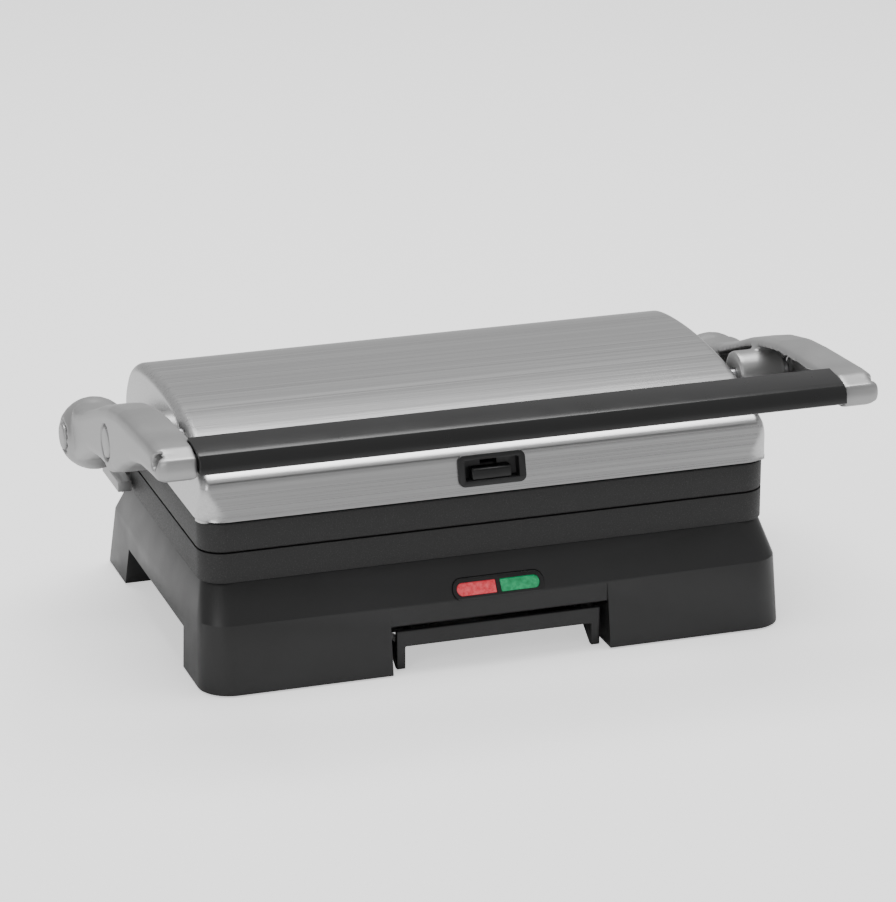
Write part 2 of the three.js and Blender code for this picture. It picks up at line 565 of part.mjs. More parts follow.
function hoodBody(inset, lowZ) {
  const level = (half, front, z) =>
    ({ half: half - inset, front: front + inset, rear: HOOD_REAR - inset, z });
  const capZ = HOOD_TOP_Z + 1;
  const sides = loft([level(HOOD_HALF_W, HOOD_FRONT, lowZ),
    level(HOOD_TOP_HALF_W, HOOD_FRONT + HOOD_LEAN * (capZ - lowZ), capZ)],
  HOOD_R - inset, HOOD_R - inset, 8);
  const rearZ = hoodCurve[hoodCurve.length - 1][1];
  const side = outline([[-FAR, lowZ - 1], [FAR, lowZ - 1], [FAR, rearZ - inset],
    ...hoodCurve.map(([y, z]) => [y, z - inset]).reverse(), [-FAR, HOOD_SHOULDER_Z - inset]]);
  return sides.intersect(prismX(side, -FAR, FAR));
}

const LATCH_LIP_W = 2;       // overlap of the latch frame on the hood, at its ends
const LATCH_LIP_H = 1.4;     // and over and under its window
function lidCover() {
  return cut(hoodBody(0, HOOD_LOW), hoodBody(HOOD_T, HOOD_LOW - 0.01),
    rod("x", HUMP_Y, HUMP_Z, BOLT_R + GAP, -FAR, FAR),
    box(-LATCH_W / 2 + LATCH_LIP_W, LATCH_W / 2 - LATCH_LIP_W, -FAR, 0,
      LATCH_Z - LATCH_H / 2 + LATCH_LIP_H, LATCH_Z + LATCH_H / 2 - LATCH_LIP_H));
}

const EAR_OUT = HOOD_TOP_HALF_W - 2.4;
const EAR_T = 4;
const EAR_HALF = 10;
const EAR_TOP = HUMP_Z + 4.1;
const LINER_FIT = 0.7;       // between the liner's edge and the inside of the hood
function lidLiner() {
  const inset = HOOD_T + LINER_FIT;
  const half = HOOD_HALF_W - inset;
  const front = HOOD_FRONT + inset + HOOD_LEAN * 1.5;
  const ring = cut(
    prismZ(roundRect(-half, half, front, HOOD_REAR - inset, HOOD_R - inset), LINER_LOW, LINER_TOP),
    box(-PAN_HALF_W - 2 * WINDOW, PAN_HALF_W + 2 * WINDOW, PAN_FRONT - 2 * WINDOW, PAN_REAR + 2 * WINDOW,
      0, FAR));
  const ear = cut(box(EAR_OUT - EAR_T, EAR_OUT, HUMP_Y - EAR_HALF, HUMP_Y + EAR_HALF,
    LINER_TOP - SINK, EAR_TOP),
    rod("x", HUMP_Y, HUMP_Z, BOLT_R + GAP, 0, FAR));
  return join(ring, ear, reflect(ear, 0, 0));
}
add("lid_cover", lidCover(), STEEL);
add("lid_liner", lidLiner(), BLACK);

// ---------- latch ----------
// Drawn upright about the hood's front line at LATCH_Z, then leaned back with the front face.
const LATCH_FRONT = HOOD_FRONT + HOOD_LEAN * (LATCH_Z - HOOD_LOW);
const LATCH_FACE = LATCH_FRONT - LATCH_PROUD;
const LATCH_BACK = LATCH_FRONT + 7;
const LATCH_FLOOR = LATCH_BACK - 2.5;
const LATCH_R = 3.2;
const SLIDER_LOW = LATCH_Z - LATCH_WINDOW_H / 2 + GAP;
const STEM_HALF_W = 4;
const STEM_H = 2.4;
const STEM_LOW = SLIDER_LOW + (SLIDER_H - STEM_H) / 2;
const KEEPER_RIM = 3;
const KEEPER_T = 1.5;
const latchPlate = (w, h, r, y0, y1) =>
  prismY(roundRect(-w / 2, w / 2, LATCH_Z - h / 2, LATCH_Z + h / 2, r), y0, y1);

// A solid sheared rearward with height, to the slope of the hood's front face.
function leaned(shape) {
  const m = shape.getMesh();
  const g = new THREE.BufferGeometry();
  g.setAttribute("position", new THREE.BufferAttribute(new Float32Array(m.vertProperties), 3));
  g.setIndex(new THREE.BufferAttribute(new Uint32Array(m.triVerts), 1));
  const lean = new THREE.Matrix4().makeShear(0, 0, 0, 0, 0, HOOD_LEAN);
  return solid(g.translate(0, 0, -LATCH_Z).applyMatrix4(lean).translate(0, 0, LATCH_Z));
}

function latchBezel() {
  const cup = join(latchPlate(LATCH_W, LATCH_H, LATCH_R, LATCH_FACE, LATCH_FRONT - 0.1),
    latchPlate(LATCH_W - 2 * LATCH_LIP_W - 1, LATCH_H - 2 * LATCH_LIP_H - 0.8, 1.5, LATCH_FACE + SINK,
      LATCH_BACK));
  return cut(cup, latchPlate(LATCH_WINDOW_W, LATCH_WINDOW_H, 0.8, -FAR, LATCH_FLOOR),
    box(-STEM_HALF_W - GAP, STEM_HALF_W + GAP, -FAR, 0, STEM_LOW - GAP,
      STEM_LOW + STEM_H + SLIDER_TRAVEL + GAP));
}

function latchSlider() {
  const top = SLIDER_LOW + SLIDER_H;
  const block = prismX(outline([[LATCH_FACE + 1, SLIDER_LOW], [LATCH_FLOOR - GAP, SLIDER_LOW],
    [LATCH_FLOOR - GAP, top], [LATCH_FACE + 2.2, top], [LATCH_FACE + 1, top - 1]]),
  -SLIDER_W / 2, SLIDER_W / 2);
  const stem = box(-STEM_HALF_W, STEM_HALF_W, LATCH_FLOOR - GAP - SINK, LATCH_BACK + GAP + SINK,
    STEM_LOW, STEM_LOW + STEM_H);
  const keeper = box(-STEM_HALF_W - KEEPER_RIM, STEM_HALF_W + KEEPER_RIM, LATCH_BACK + GAP,
    LATCH_BACK + GAP + KEEPER_T, STEM_LOW - KEEPER_T, STEM_LOW + STEM_H + KEEPER_T);
  return join(block, stem, keeper);
}
add("latch_bezel", leaned(latchBezel()), BLACK);
add("latch_slider", leaned(latchSlider()), BAR_BLACK);

// ---------- arms ----------
const TIP_Y = BAR_FRONT + 3;
const CAP_SEAT = ARM_OUT - CAP_T;
const BOLT_SEAT = ARM_IN + 11;
const BOLT_HEAD_R = 6;
const BOLT_IN = EAR_OUT - EAR_T - 3;
const BOSS_IN = HOOD_HALF_W - 1.4;
const SHANK_R = 1.8;
const HEAD_R = 3.4;
const SCREW_SEAT = ARM_OUT - 10;
const BAR_MID_Y = (BAR_FRONT + BAR_REAR) / 2 - 0.5;
const BAR_MID_Z = BAR_LOW + 5.2;
const REAR_CAP_IN = KNUCKLE_X + KNUCKLE_R - 4.5;

// Side outline of an arm: points by the knuckle, round the hump's bolt and by the bar, as (y, z).
const byKnuckle = (y, z) => [KNUCKLE_Y + y, KNUCKLE_Z + z];
const byHump = (y, z) => [HUMP_Y + y, HUMP_Z + z];
const byBar = (y, z) => [BAR_REAR + y, BAR_TOP + z];
const backRidge = [byHump(54, -2), byHump(36, 5), byHump(18, 12.5), byHump(-2, 19)];
const frontRidge = [byBar(60, -5.2), byBar(41, -3.4), byBar(19, -2.2)];
const armTop = [byKnuckle(-4, 17.5), byKnuckle(-15, 18), ...backRidge, ...frontRidge, byBar(0, -1),
  byBar(-10, -1), [TIP_Y + 1, BAR_TOP - 4.2], [TIP_Y, BAR_TOP - 9.8]];
const armBottom = [[TIP_Y + 1, BAR_LOW - 2], [TIP_Y + 6, BAR_LOW - 4.4], byBar(0, -17.2), byBar(18, -19.2),
  byBar(36, -23.8), byHump(-30, -2.5), byHump(-16, -10.5), byHump(0, -14.5), byHump(18, -15.5),
  byKnuckle(-41, 4), byKnuckle(-23, -5), byKnuckle(-6, -13)];

function arm() {
  const frame = softPrismX(outline([...armBottom, ...armTop]), ARM_IN, ARM_OUT, ARM_BEVEL);
  const hump = softPrismX(circle(HUMP_Y, HUMP_Z, HUMP_R), ARM_IN, ARM_OUT, ARM_BEVEL - 1);
  const ball = new THREE.SphereGeometry(KNUCKLE_R, 24, 16);
  const knuckle = solid(ball.translate(KNUCKLE_X, KNUCKLE_Y, KNUCKLE_Z))
    .subtract(box(0, FAR, -FAR, FAR, 0, KNUCKLE_Z - KNUCKLE_R + 1));
  const lug = prismX(outline([byKnuckle(4, -10), [HINGE_Y - 2.5, HINGE_Z - EYE_R + 0.3],
    [HINGE_Y + 3, HINGE_Z + EYE_R - 0.7], byKnuckle(12, 6), byKnuckle(0, 8)]), LUG_X, LUG_X + LUG_T);
  const eye = rod("x", HINGE_Y, HINGE_Z, EYE_R, LUG_X, LUG_X + LUG_T);
  const frontEnd = BAR_REAR + 4;
  const pocket = prismX(outline([[frontEnd, BAR_LOW - 1.6], byBar(20, -15.4), byBar(36, -19.8),
    byHump(-30, 1.5), byHump(-16, -6.5), byHump(0, -10.9), byHump(18, -12.1), byHump(40, -14.5),
    ...[...backRidge, ...frontRidge, [frontEnd, BAR_TOP - 1.4]].map(([y, z]) => [y, z - ARM_SKIN])]),
  0, ARM_OUT - ARM_WALL);
  const boss = rod("x", HUMP_Y, HUMP_Z, BOSS_R, BOSS_IN, BOLT_SEAT + WINDOW);
  return cut(join(frame, hump, knuckle, lug, eye).subtract(pocket).add(boss),
    box(0, BAR_HALF_W + GAP, -FAR, BAR_REAR + GAP, 0, FAR),
    rod("x", HINGE_Y, HINGE_Z, PIN_R + PIN_FIT, 0, FAR),
    rod("x", HUMP_Y, HUMP_Z, BOLT_R + GAP, 0, FAR),
    rod("x", HUMP_Y, HUMP_Z, BOLT_HEAD_R + GAP, BOLT_SEAT, FAR),
    rod("x", HUMP_Y, HUMP_Z, CAP_R + CAP_GROOVE, CAP_SEAT - GAP, FAR),
    rod("x", KNUCKLE_Y, KNUCKLE_Z, REAR_CAP_R + CAP_GROOVE, REAR_CAP_IN - GAP, FAR),
    rod("x", BAR_MID_Y, BAR_MID_Z, SHANK_R + GAP, 0, FAR, 12),
    rod("x", BAR_MID_Y, BAR_MID_Z, HEAD_R + GAP, SCREW_SEAT, FAR, 16));
}

addPair("arm", arm(), CAST);
addPair("front_cap", rod("x", HUMP_Y, HUMP_Z, CAP_R, CAP_SEAT, ARM_OUT), CAST);
addPair("rear_cap", rod("x", KNUCKLE_Y, KNUCKLE_Z, REAR_CAP_R, REAR_CAP_IN, REAR_CAP_IN + CAP_T),
  CAST);
addPair("arm_bolt", join(rod("x", HUMP_Y, HUMP_Z, BOLT_R, BOLT_IN, BOLT_SEAT + GAP + SINK),
  rod("x", HUMP_Y, HUMP_Z, BOLT_HEAD_R, BOLT_SEAT + GAP, CAP_SEAT - 4)), ZINC);

// ---------- handle ----------
const barSection = outline([[BAR_FRONT, BAR_LOW + 0.8], [BAR_FRONT + 1, BAR_LOW],
  [BAR_REAR - 2, BAR_LOW], [BAR_REAR, BAR_LOW + 2], [BAR_REAR, BAR_TOP - 1.2], [BAR_REAR - 1.6, BAR_TOP],
  [BAR_FRONT + 6, BAR_TOP - 2], [BAR_FRONT + 3.2, BAR_TOP - 3], [BAR_FRONT + 0.6, BAR_TOP - 6.5]]);
add("handle_bar", cut(prismX(barSection, -BAR_HALF_W, BAR_HALF_W),
  rod("x", BAR_MID_Y, BAR_MID_Z, CORE_R + GAP, -FAR, FAR, 16)), BAR_BLACK);
const CORE_HALF = BAR_HALF_W - 6;
add("handle_core", rod("x", BAR_MID_Y, BAR_MID_Z, CORE_R, -CORE_HALF, CORE_HALF, 16), ZINC);
addPair("handle_screw", join(rod("x", BAR_MID_Y, BAR_MID_Z, SHANK_R, CORE_HALF + GAP, SCREW_SEAT + 1, 12),
  rod("x", BAR_MID_Y, BAR_MID_Z, HEAD_R, SCREW_SEAT + GAP, SCREW_SEAT + 2.6, 16)), ZINC);

// ---------- drip tray ----------
function dripTray() {
  const outer = box(-TRAY_HALF_W, TRAY_HALF_W, TRAY_FRONT_Y, TRAY_BACK, TRAY_LOW, TRAY_TOP);
  const flange = box(-TRAY_HALF_W - FLANGE_W, TRAY_HALF_W + FLANGE_W, DECK_FRONT + 1, TRAY_BACK,
    TRAY_TOP - FLANGE_T, TRAY_TOP);
  const well = box(-TRAY_HALF_W + TRAY_WALL, TRAY_HALF_W - TRAY_WALL, TRAY_FRONT_Y + TRAY_FRONT_T,
    TRAY_BACK - TRAY_WALL, TRAY_LOW + TRAY_WALL, FAR);
  const face = box(-TRAY_FRONT_HALF_W, TRAY_FRONT_HALF_W, TRAY_FRONT_Y, TRAY_FRONT_Y + TRAY_FRONT_T,
    TRAY_LOW, TRAY_TOP);
  const leg = prismX(outline([[TRAY_FRONT_Y, LEG_FOOT_Z], [TRAY_FRONT_Y + TRAY_FRONT_T, LEG_FOOT_Z],
    [TRAY_FRONT_Y + LEG_RUN, TRAY_LOW], [TRAY_FRONT_Y + TRAY_FRONT_T, TRAY_LOW + 2],
    [TRAY_FRONT_Y, TRAY_LOW + 2]]), TRAY_FRONT_HALF_W - LEG_T, TRAY_FRONT_HALF_W);
  return join(outer, flange, face, leg, reflect(leg, 0, 0)).subtract(well);
}
add("drip_tray", dripTray(), BLACK);

export default press;
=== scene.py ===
"""Looks of a compact panini press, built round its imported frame.

Each sub-assembly is a class that holds its sizes in millimetres and builds and dresses its own
pieces. Places come from the boxes of the frame's nodes, so every piece sits where its node does.
"""

import json
import logging
import math
from collections.abc import Callable, Iterable, Sequence
from dataclasses import dataclass
from enum import Enum
from functools import lru_cache

import bmesh
import bpy
from mathutils import Matrix, Vector


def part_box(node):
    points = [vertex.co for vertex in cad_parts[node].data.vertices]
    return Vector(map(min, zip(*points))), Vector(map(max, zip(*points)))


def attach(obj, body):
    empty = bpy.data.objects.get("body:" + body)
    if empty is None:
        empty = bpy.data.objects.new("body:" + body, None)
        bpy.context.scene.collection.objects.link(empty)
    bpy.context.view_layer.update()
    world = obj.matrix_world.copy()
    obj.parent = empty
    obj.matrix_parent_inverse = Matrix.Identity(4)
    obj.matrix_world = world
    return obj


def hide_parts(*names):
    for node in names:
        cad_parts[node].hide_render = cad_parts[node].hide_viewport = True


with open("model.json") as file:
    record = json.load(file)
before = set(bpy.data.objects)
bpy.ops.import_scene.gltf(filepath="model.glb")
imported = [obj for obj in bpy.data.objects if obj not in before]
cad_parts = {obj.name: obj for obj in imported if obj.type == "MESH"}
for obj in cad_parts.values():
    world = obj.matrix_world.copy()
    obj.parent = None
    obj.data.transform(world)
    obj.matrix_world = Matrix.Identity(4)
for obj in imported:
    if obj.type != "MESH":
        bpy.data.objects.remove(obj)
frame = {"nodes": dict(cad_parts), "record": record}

LOG = logging.getLogger("press")
MM = 0.001
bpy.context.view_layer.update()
Point = tuple[float, float]
Triple = tuple[float, float, float]


class Axis(Enum):
    """Direction of a prism or a rod."""

    X = 0
    Y = 1
    Z = 2


class Side(Enum):
    """Left or right of the press, seen from the front."""

    LEFT = -1
    RIGHT = 1

    @property
    def word(self) -> str:
        """Prefix of this side's node names."""
        return self.name.lower()


class Body(Enum):
    """Moving bodies of the press."""

    BASE = "base"
    POSTS = "hinge_posts"
    COVER = "cover"
    LATCH = "latch"
    TRAY = "drip_tray"


@dataclass(frozen=True)
class NodeBox:
    """Box of a frame node at rest, in millimetres."""

    lo: Vector
    hi: Vector

    @classmethod
    @lru_cache(maxsize=None)
    def of(cls, node: str) -> "NodeBox":
        """Read a node's box.

        Args:
            node: Name of the frame node.

        Returns:
            The node's box in millimetres.
        """
        lo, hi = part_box(node)
        return cls(lo / MM, hi / MM)

    @property
    def centre(self) -> Vector:
        """Middle of the box."""
        return (self.lo + self.hi) / 2


# ---------- finishes ----------
class Nodes:
    """Short way to wire a material's node tree."""

    def __init__(self, name: str) -> None:
        """Start a material with one surface shader.

        Args:
            name: Name of the material.
        """
        self.material = bpy.data.materials.new(name)
        self.material.use_nodes = True
        self.tree = self.material.node_tree
        self.shader = self.tree.nodes["Principled BSDF"]

    def add(self, kind: str, **settings: object) -> bpy.types.Node:
        """Add a node and set its properties.

        Args:
            kind: Node type name.
            **settings: Properties of the node.

        Returns:
            The new node.
        """
        node = self.tree.nodes.new(kind)
        for key, value in settings.items():
            setattr(node, key, value)
        return node

    def link(self, source: bpy.types.NodeSocket, target: bpy.types.NodeSocket) -> None:
        """Join an output to an input."""
        self.tree.links.new(source, target)

    def object_space(self, scale: Triple = (1, 1, 1)) -> bpy.types.NodeSocket:
        """Object coordinates, stretched by a mapping.

        Args:
            scale: Repeats per metre along each axis.

        Returns:
            The vector output.
        """
        place = self.add("ShaderNodeTexCoord")
        mapping = self.add("ShaderNodeMapping")
        mapping.inputs["Scale"].default_value = scale
        self.link(place.outputs["Object"], mapping.inputs["Vector"])
        return mapping.outputs["Vector"]

    def noise(self, vector: bpy.types.NodeSocket, scale: float, detail: float = 3,
              roughness: float = 0.5) -> bpy.types.NodeSocket:
        """Noise value over a vector.

        Args:
            vector: Coordinates to read.
            scale: Repeats per unit of the vector.
            detail: Number of finer layers.
            roughness: Strength of the finer layers.

        Returns:
            The value output.
        """
        node = self.add("ShaderNodeTexNoise")
        node.inputs["Scale"].default_value = scale
        node.inputs["Detail"].default_value = detail
        node.inputs["Roughness"].default_value = roughness
        self.link(vector, node.inputs["Vector"])
        return node.outputs["Fac"]

    def spread(self, value: bpy.types.NodeSocket, low: float, high: float,
               source: Point = (0.3, 0.7)) -> bpy.types.NodeSocket:
        """Map a value onto a new range.

        Args:
            value: Value to map.
            low: Result at the low end.
            high: Result at the high end.
            source: Range of the value that is mapped.

        Returns:
            The mapped value.
        """
        node = self.add("ShaderNodeMapRange")
        node.inputs["From Min"].default_value, node.inputs["From Max"].default_value = source
        node.inputs["To Min"].default_value = low
        node.inputs["To Max"].default_value = high
        self.link(value, node.inputs["Value"])
        return node.outputs["Result"]

    def shade(self, value: bpy.types.NodeSocket, dark: Triple, light: Triple,
              stops: Point = (0.3, 0.7)) -> bpy.types.NodeSocket:
        """Colour ramp between two colours.

        Args:
            value: Position on the ramp.
            dark: Colour at the first stop.
            light: Colour at the second stop.
            stops: Positions of both stops.

        Returns:
            The colour output.
        """
        node = self.add("ShaderNodeValToRGB")
        for element, stop, colour in zip(node.color_ramp.elements, stops, (dark, light)):
            element.position = stop
            element.color = (*colour, 1)
        self.link(value, node.inputs["Fac"])
        return node.outputs["Color"]

    def relief(self, height: bpy.types.NodeSocket, strength: float, distance: float) -> None:
        """Drive the shader's normal with a height.

        Args:
            height: Height value.
            strength: Share of the effect.
            distance: Depth of the relief in metres.
        """
        bump = self.add("ShaderNodeBump")
        bump.inputs["Strength"].default_value = strength
        bump.inputs["Distance"].default_value = distance
        self.link(height, bump.inputs["Height"])
        self.link(bump.outputs["Normal"], self.shader.inputs["Normal"])

    def colour(self, output: bpy.types.NodeSocket) -> None:
        """Drive the base colour."""
        self.link(output, self.shader.inputs["Base Color"])

    def gloss(self, output: bpy.types.NodeSocket) -> None:
        """Drive the roughness."""
        self.link(output, self.shader.inputs["Roughness"])

    def fix(self, **values: float) -> None:
        """Set plain numbers on the shader's own sockets; underscores stand for spaces."""
        for key, value in values.items():
            self.shader.inputs[key.replace("_", " ")].default_value = value


@dataclass(frozen=True)
class Finish:
    """What every finish has: a material slot and a name."""

    slot: str

    def wire(self, nodes: Nodes) -> None:
        """Wire the finish into a material's nodes."""
        raise NotImplementedError

    def material(self) -> bpy.types.Material:
        """The finish's material, made once.

        Returns:
            The material.
        """
        name = "finish_" + self.slot
        found = bpy.data.materials.get(name)
        if found:
            return found
        nodes = Nodes(name)
        self.wire(nodes)
        return nodes.material


@dataclass(frozen=True)
class MouldedPlastic(Finish):
    """Dark moulded plastic with a fine grain."""

    tone: float = 0.022
    roughness: float = 0.42
    grain: float = 2600
    depth: float = 0.00003
    specular: float = 0.5

    def wire(self, nodes: Nodes) -> None:
        """Wire cloudy tone, uneven gloss and a fine moulded grain."""
        space = nodes.object_space()
        cloud = nodes.noise(space, 22, 4)
        nodes.colour(nodes.shade(cloud, (self.tone * 0.9,) * 3,
                                 (self.tone * 1.1, self.tone * 1.1, self.tone * 1.14)))
        grain = nodes.noise(space, self.grain, 2)
        nodes.gloss(nodes.spread(nodes.noise(space, 60, 5), self.roughness - 0.03, self.roughness + 0.03))
        nodes.relief(grain, 0.35, self.depth)
        nodes.fix(Specular_IOR_Level=self.specular)


@dataclass(frozen=True)
class BrushedSteel(Finish):
    """Sheet steel brushed along its length."""

    tone: float = 0.6
    roughness: float = 0.3

    def wire(self, nodes: Nodes) -> None:
        """Wire long fine streaks into colour, gloss and relief."""
        fine = nodes.noise(nodes.object_space((4, 2600, 2600)), 1, 6, 0.65)
        broad = nodes.noise(nodes.object_space((0.9, 620, 620)), 1, 4, 0.6)
        mixed = nodes.add("ShaderNodeMath", operation="MULTIPLY_ADD")
        mixed.inputs[1].default_value = 0.55
        nodes.link(broad, mixed.inputs[0])
        half = nodes.add("ShaderNodeMath", operation="MULTIPLY")
        half.inputs[1].default_value = 0.45
        nodes.link(fine, half.inputs[0])
        nodes.link(half.outputs[0], mixed.inputs[2])
        streak = mixed.outputs[0]
        tone = self.tone
        nodes.colour(nodes.shade(streak, (tone * 0.86, tone * 0.86, tone * 0.865),
                                 (tone * 1.1, tone * 1.1, tone * 1.1), (0.36, 0.64)))
        nodes.gloss(nodes.spread(streak, self.roughness - 0.05, self.roughness + 0.07, (0.36, 0.64)))
        nodes.relief(fine, 0.25, 0.00003)
        nodes.fix(Metallic=1.0)


@dataclass(frozen=True)
class CastMetal(Finish):
    """Satin casting with a fine blasted grain."""

    tone: float = 0.4
    roughness: float = 0.4
    metal: float = 0.75

    def wire(self, nodes: Nodes) -> None:
        """Wire a soft cloudy tone and a blasted grain."""
        space = nodes.object_space()
        cloud = nodes.noise(space, 35, 4)
        tone = self.tone
        nodes.colour(nodes.shade(cloud, (tone * 0.94,) * 3, (tone * 1.06,) * 3))
        grain = nodes.noise(space, 1900, 2)
        nodes.gloss(nodes.spread(cloud, self.roughness - 0.04, self.roughness + 0.05))
        nodes.relief(grain, 0.4, 0.00004)
        nodes.fix(Metallic=self.metal)


@dataclass(frozen=True)
class SpeckledCoating(Finish):
    """Non-stick coating: near black, with fine pale specks and a pebbled face."""

    tone: float = 0.011
    speck: float = 0.055

    def wire(self, nodes: Nodes) -> None:
        """Wire pale specks over a dark ground and a pebbled relief."""
        space = nodes.object_space()
        pebble = nodes.noise(space, 1700, 3, 0.7)
        nodes.colour(nodes.shade(pebble, (self.tone,) * 3, (self.speck,) * 3, (0.56, 0.78)))
        nodes.gloss(nodes.spread(pebble, 0.62, 0.45))
        nodes.relief(pebble, 0.6, 0.00018)


@dataclass(frozen=True)
class LampLens(Finish):
    """Tinted lens with a fine prismatic inner face."""

    tint: Triple = (0.7, 0.05, 0.07)
    pale: Triple = (0.9, 0.2, 0.22)
    glow: float = 0.2

    def wire(self, nodes: Nodes) -> None:
        """Wire a mottled tint, a faint glow and a clear coat."""
        space = nodes.object_space()
        mottle = nodes.noise(space, 420, 3, 0.6)
        nodes.colour(nodes.shade(mottle, self.tint, self.pale))
        nodes.link(nodes.shade(mottle, self.tint, self.pale), nodes.shader.inputs["Emission Color"])
        nodes.gloss(nodes.spread(mottle, 0.16, 0.26))
        nodes.relief(mottle, 0.3, 0.0002)
        nodes.fix(Emission_Strength=self.glow, Coat_Weight=0.6, Coat_Roughness=0.06)


@dataclass(frozen=True)
class PlainGrain(Finish):
    """Everyday finish with a cloudy tone: plating, rubber, ceramic or board."""

    dark: Triple = (0.4, 0.4, 0.4)
    light: Triple = (0.5, 0.5, 0.5)
    roughness: float = 0.4
    metal: float = 0.0
    grain: float = 900

    def wire(self, nodes: Nodes) -> None:
        """Wire a cloudy tone, uneven gloss and a light grain."""
        space = nodes.object_space()
        cloud = nodes.noise(space, 90, 4)
        nodes.colour(nodes.shade(cloud, self.dark, self.light))
        nodes.gloss(nodes.spread(cloud, self.roughness - 0.06, self.roughness + 0.06))
        nodes.relief(nodes.noise(space, self.grain, 2), 0.25, 0.00003)
        nodes.fix(Metallic=self.metal)


HOUSING = MouldedPlastic("housing_black", tone=0.014, roughness=0.36)
BAR = MouldedPlastic("bar_black", tone=0.01, roughness=0.3, grain=3200, depth=0.00002)
COATING = SpeckledCoating("grill_coating")
STEEL = BrushedSteel("brushed_steel")
CAST = CastMetal("cast_arm")
PLATED = PlainGrain("plated_steel", (0.42, 0.42, 0.43), (0.58, 0.58, 0.59), 0.34, 1.0)
RUBBER = PlainGrain("foot_rubber", (0.008, 0.008, 0.008), (0.016, 0.016, 0.016), 0.8)
RED = LampLens("red_lens", (0.6, 0.02, 0.035), (0.8, 0.1, 0.12), 0.3)
GREEN = LampLens("green_lens", (0.0, 0.22, 0.07), (0.01, 0.4, 0.15), 0.18)
BOARD = PlainGrain("board_green", (0.01, 0.09, 0.03), (0.02, 0.15, 0.05), 0.5)
CERAMIC = PlainGrain("insulator_white", (0.6, 0.6, 0.56), (0.75, 0.75, 0.7), 0.45)
FINISHES = (HOUSING, BAR, COATING, STEEL, CAST, PLATED, RUBBER, RED, GREEN, BOARD, CERAMIC)


# ---------- shaping ----------
class Workpiece:
    """A body being shaped with mesh operators, in millimetres."""

    def __init__(self) -> None:
        """Start with an empty mesh."""
        self.bm = bmesh.new()

    def slab(self, lo: Sequence[float], hi: Sequence[float]) -> list[bmesh.types.BMVert]:
        """Add a rectangular block.

        Args:
            lo: Lowest corner.
            hi: Highest corner.

        Returns:
            The new vertices.
        """
        size = [h - l for l, h in zip(lo, hi)]
        middle = [(h + l) / 2 for l, h in zip(lo, hi)]
        place = Matrix.Translation(middle) @ Matrix.Diagonal((*size, 1))
        return bmesh.ops.create_cube(self.bm, size=1, matrix=place)["verts"]

    def prism(self, axis: Axis, outline: Iterable[Point], lo: float, hi: float) -> list[bmesh.types.BMVert]:
        """Extrude an outline along an axis.

        Args:
            axis: Direction of the prism.
            outline: Corners in the plane across the axis, in the order of the remaining axes.
            lo: Start along the axis.
            hi: End along the axis.

        Returns:
            The new vertices.
        """
        corners = []
        for a, b in outline:
            place = [a, b]
            place.insert(axis.value, lo)
            corners.append(self.bm.verts.new(place))
        face = bmesh.ops.contextual_create(self.bm, geom=corners)["faces"][0]
        grown = bmesh.ops.extrude_face_region(self.bm, geom=[face])
        tips = [g for g in grown["geom"] if isinstance(g, bmesh.types.BMVert)]
        step = Vector((0, 0, 0))
        step[axis.value] = hi - lo
        bmesh.ops.translate(self.bm, vec=step, verts=tips)
        return corners + tips

    def rod(self, axis: Axis, middle: Point, radius: float, lo: float, hi: float,
            segments: int = 48) -> list[bmesh.types.BMVert]:
        """Add a round rod along an axis.

        Args:
            axis: Direction of the rod.
            middle: Its centre in the plane across the axis.
            radius: Its radius.
            lo: Start along the axis.
            hi: End along the axis.
            segments: Number of sides.

        Returns:
            The new vertices.
        """
        turn = 2 * math.pi / segments
        ring = [(middle[0] + radius * math.cos(i * turn), middle[1] + radius * math.sin(i * turn))
                for i in range(segments)]
        return self.prism(axis, ring, lo, hi)

    def round_edges(self, chosen: Callable[[bmesh.types.BMEdge], bool], radius: float,
                    segments: int = 4) -> None:
        """Round the chosen edges.

        Args:
            chosen: Test that an edge must pass.
            radius: Radius of the rounding.
            segments: Number of faces across it.
        """
        edges = [e for e in self.bm.edges if chosen(e)]
        bmesh.ops.bevel(self.bm, geom=edges, offset=radius, offset_type="OFFSET", segments=segments,
                        profile=0.5, affect="EDGES", clamp_overlap=True, material=-1)

    def split(self, axis: Axis, place: float) -> None:
        """Cut the mesh's faces along a plane, and keep both sides."""
        across = Vector([1 if i == axis.value else 0 for i in range(3)])
        everything = [*self.bm.verts, *self.bm.edges, *self.bm.faces]
        bmesh.ops.bisect_plane(self.bm, geom=everything, dist=1e-5, plane_co=across * place, plane_no=across)

    def keep_above(self, level: float) -> "Workpiece":
        """Cut the mesh off below a level and close it there.

        Args:
            level: Height of the cut.

        Returns:
            The same workpiece.
        """
        everything = [*self.bm.verts, *self.bm.edges, *self.bm.faces]
        made = bmesh.ops.bisect_plane(self.bm, geom=everything, dist=1e-5, plane_co=(0, 0, level),
                                      plane_no=(0, 0, 1), clear_inner=True)
        rim = [g for g in made["geom_cut"] if isinstance(g, bmesh.types.BMEdge)]
        bmesh.ops.holes_fill(self.bm, edges=rim)
        return self

    def mesh(self, name: str) -> bpy.types.Mesh:
        """Turn the workpiece into a mesh in metres.

        Args:
            name: Name of the mesh.

        Returns:
            The mesh.
        """
        bmesh.ops.recalc_face_normals(self.bm, faces=self.bm.faces[:])
        bmesh.ops.scale(self.bm, vec=(MM, MM, MM), verts=self.bm.verts[:])
        mesh = bpy.data.meshes.new(name)
        self.bm.to_mesh(mesh)
        self.bm.free()
        return mesh


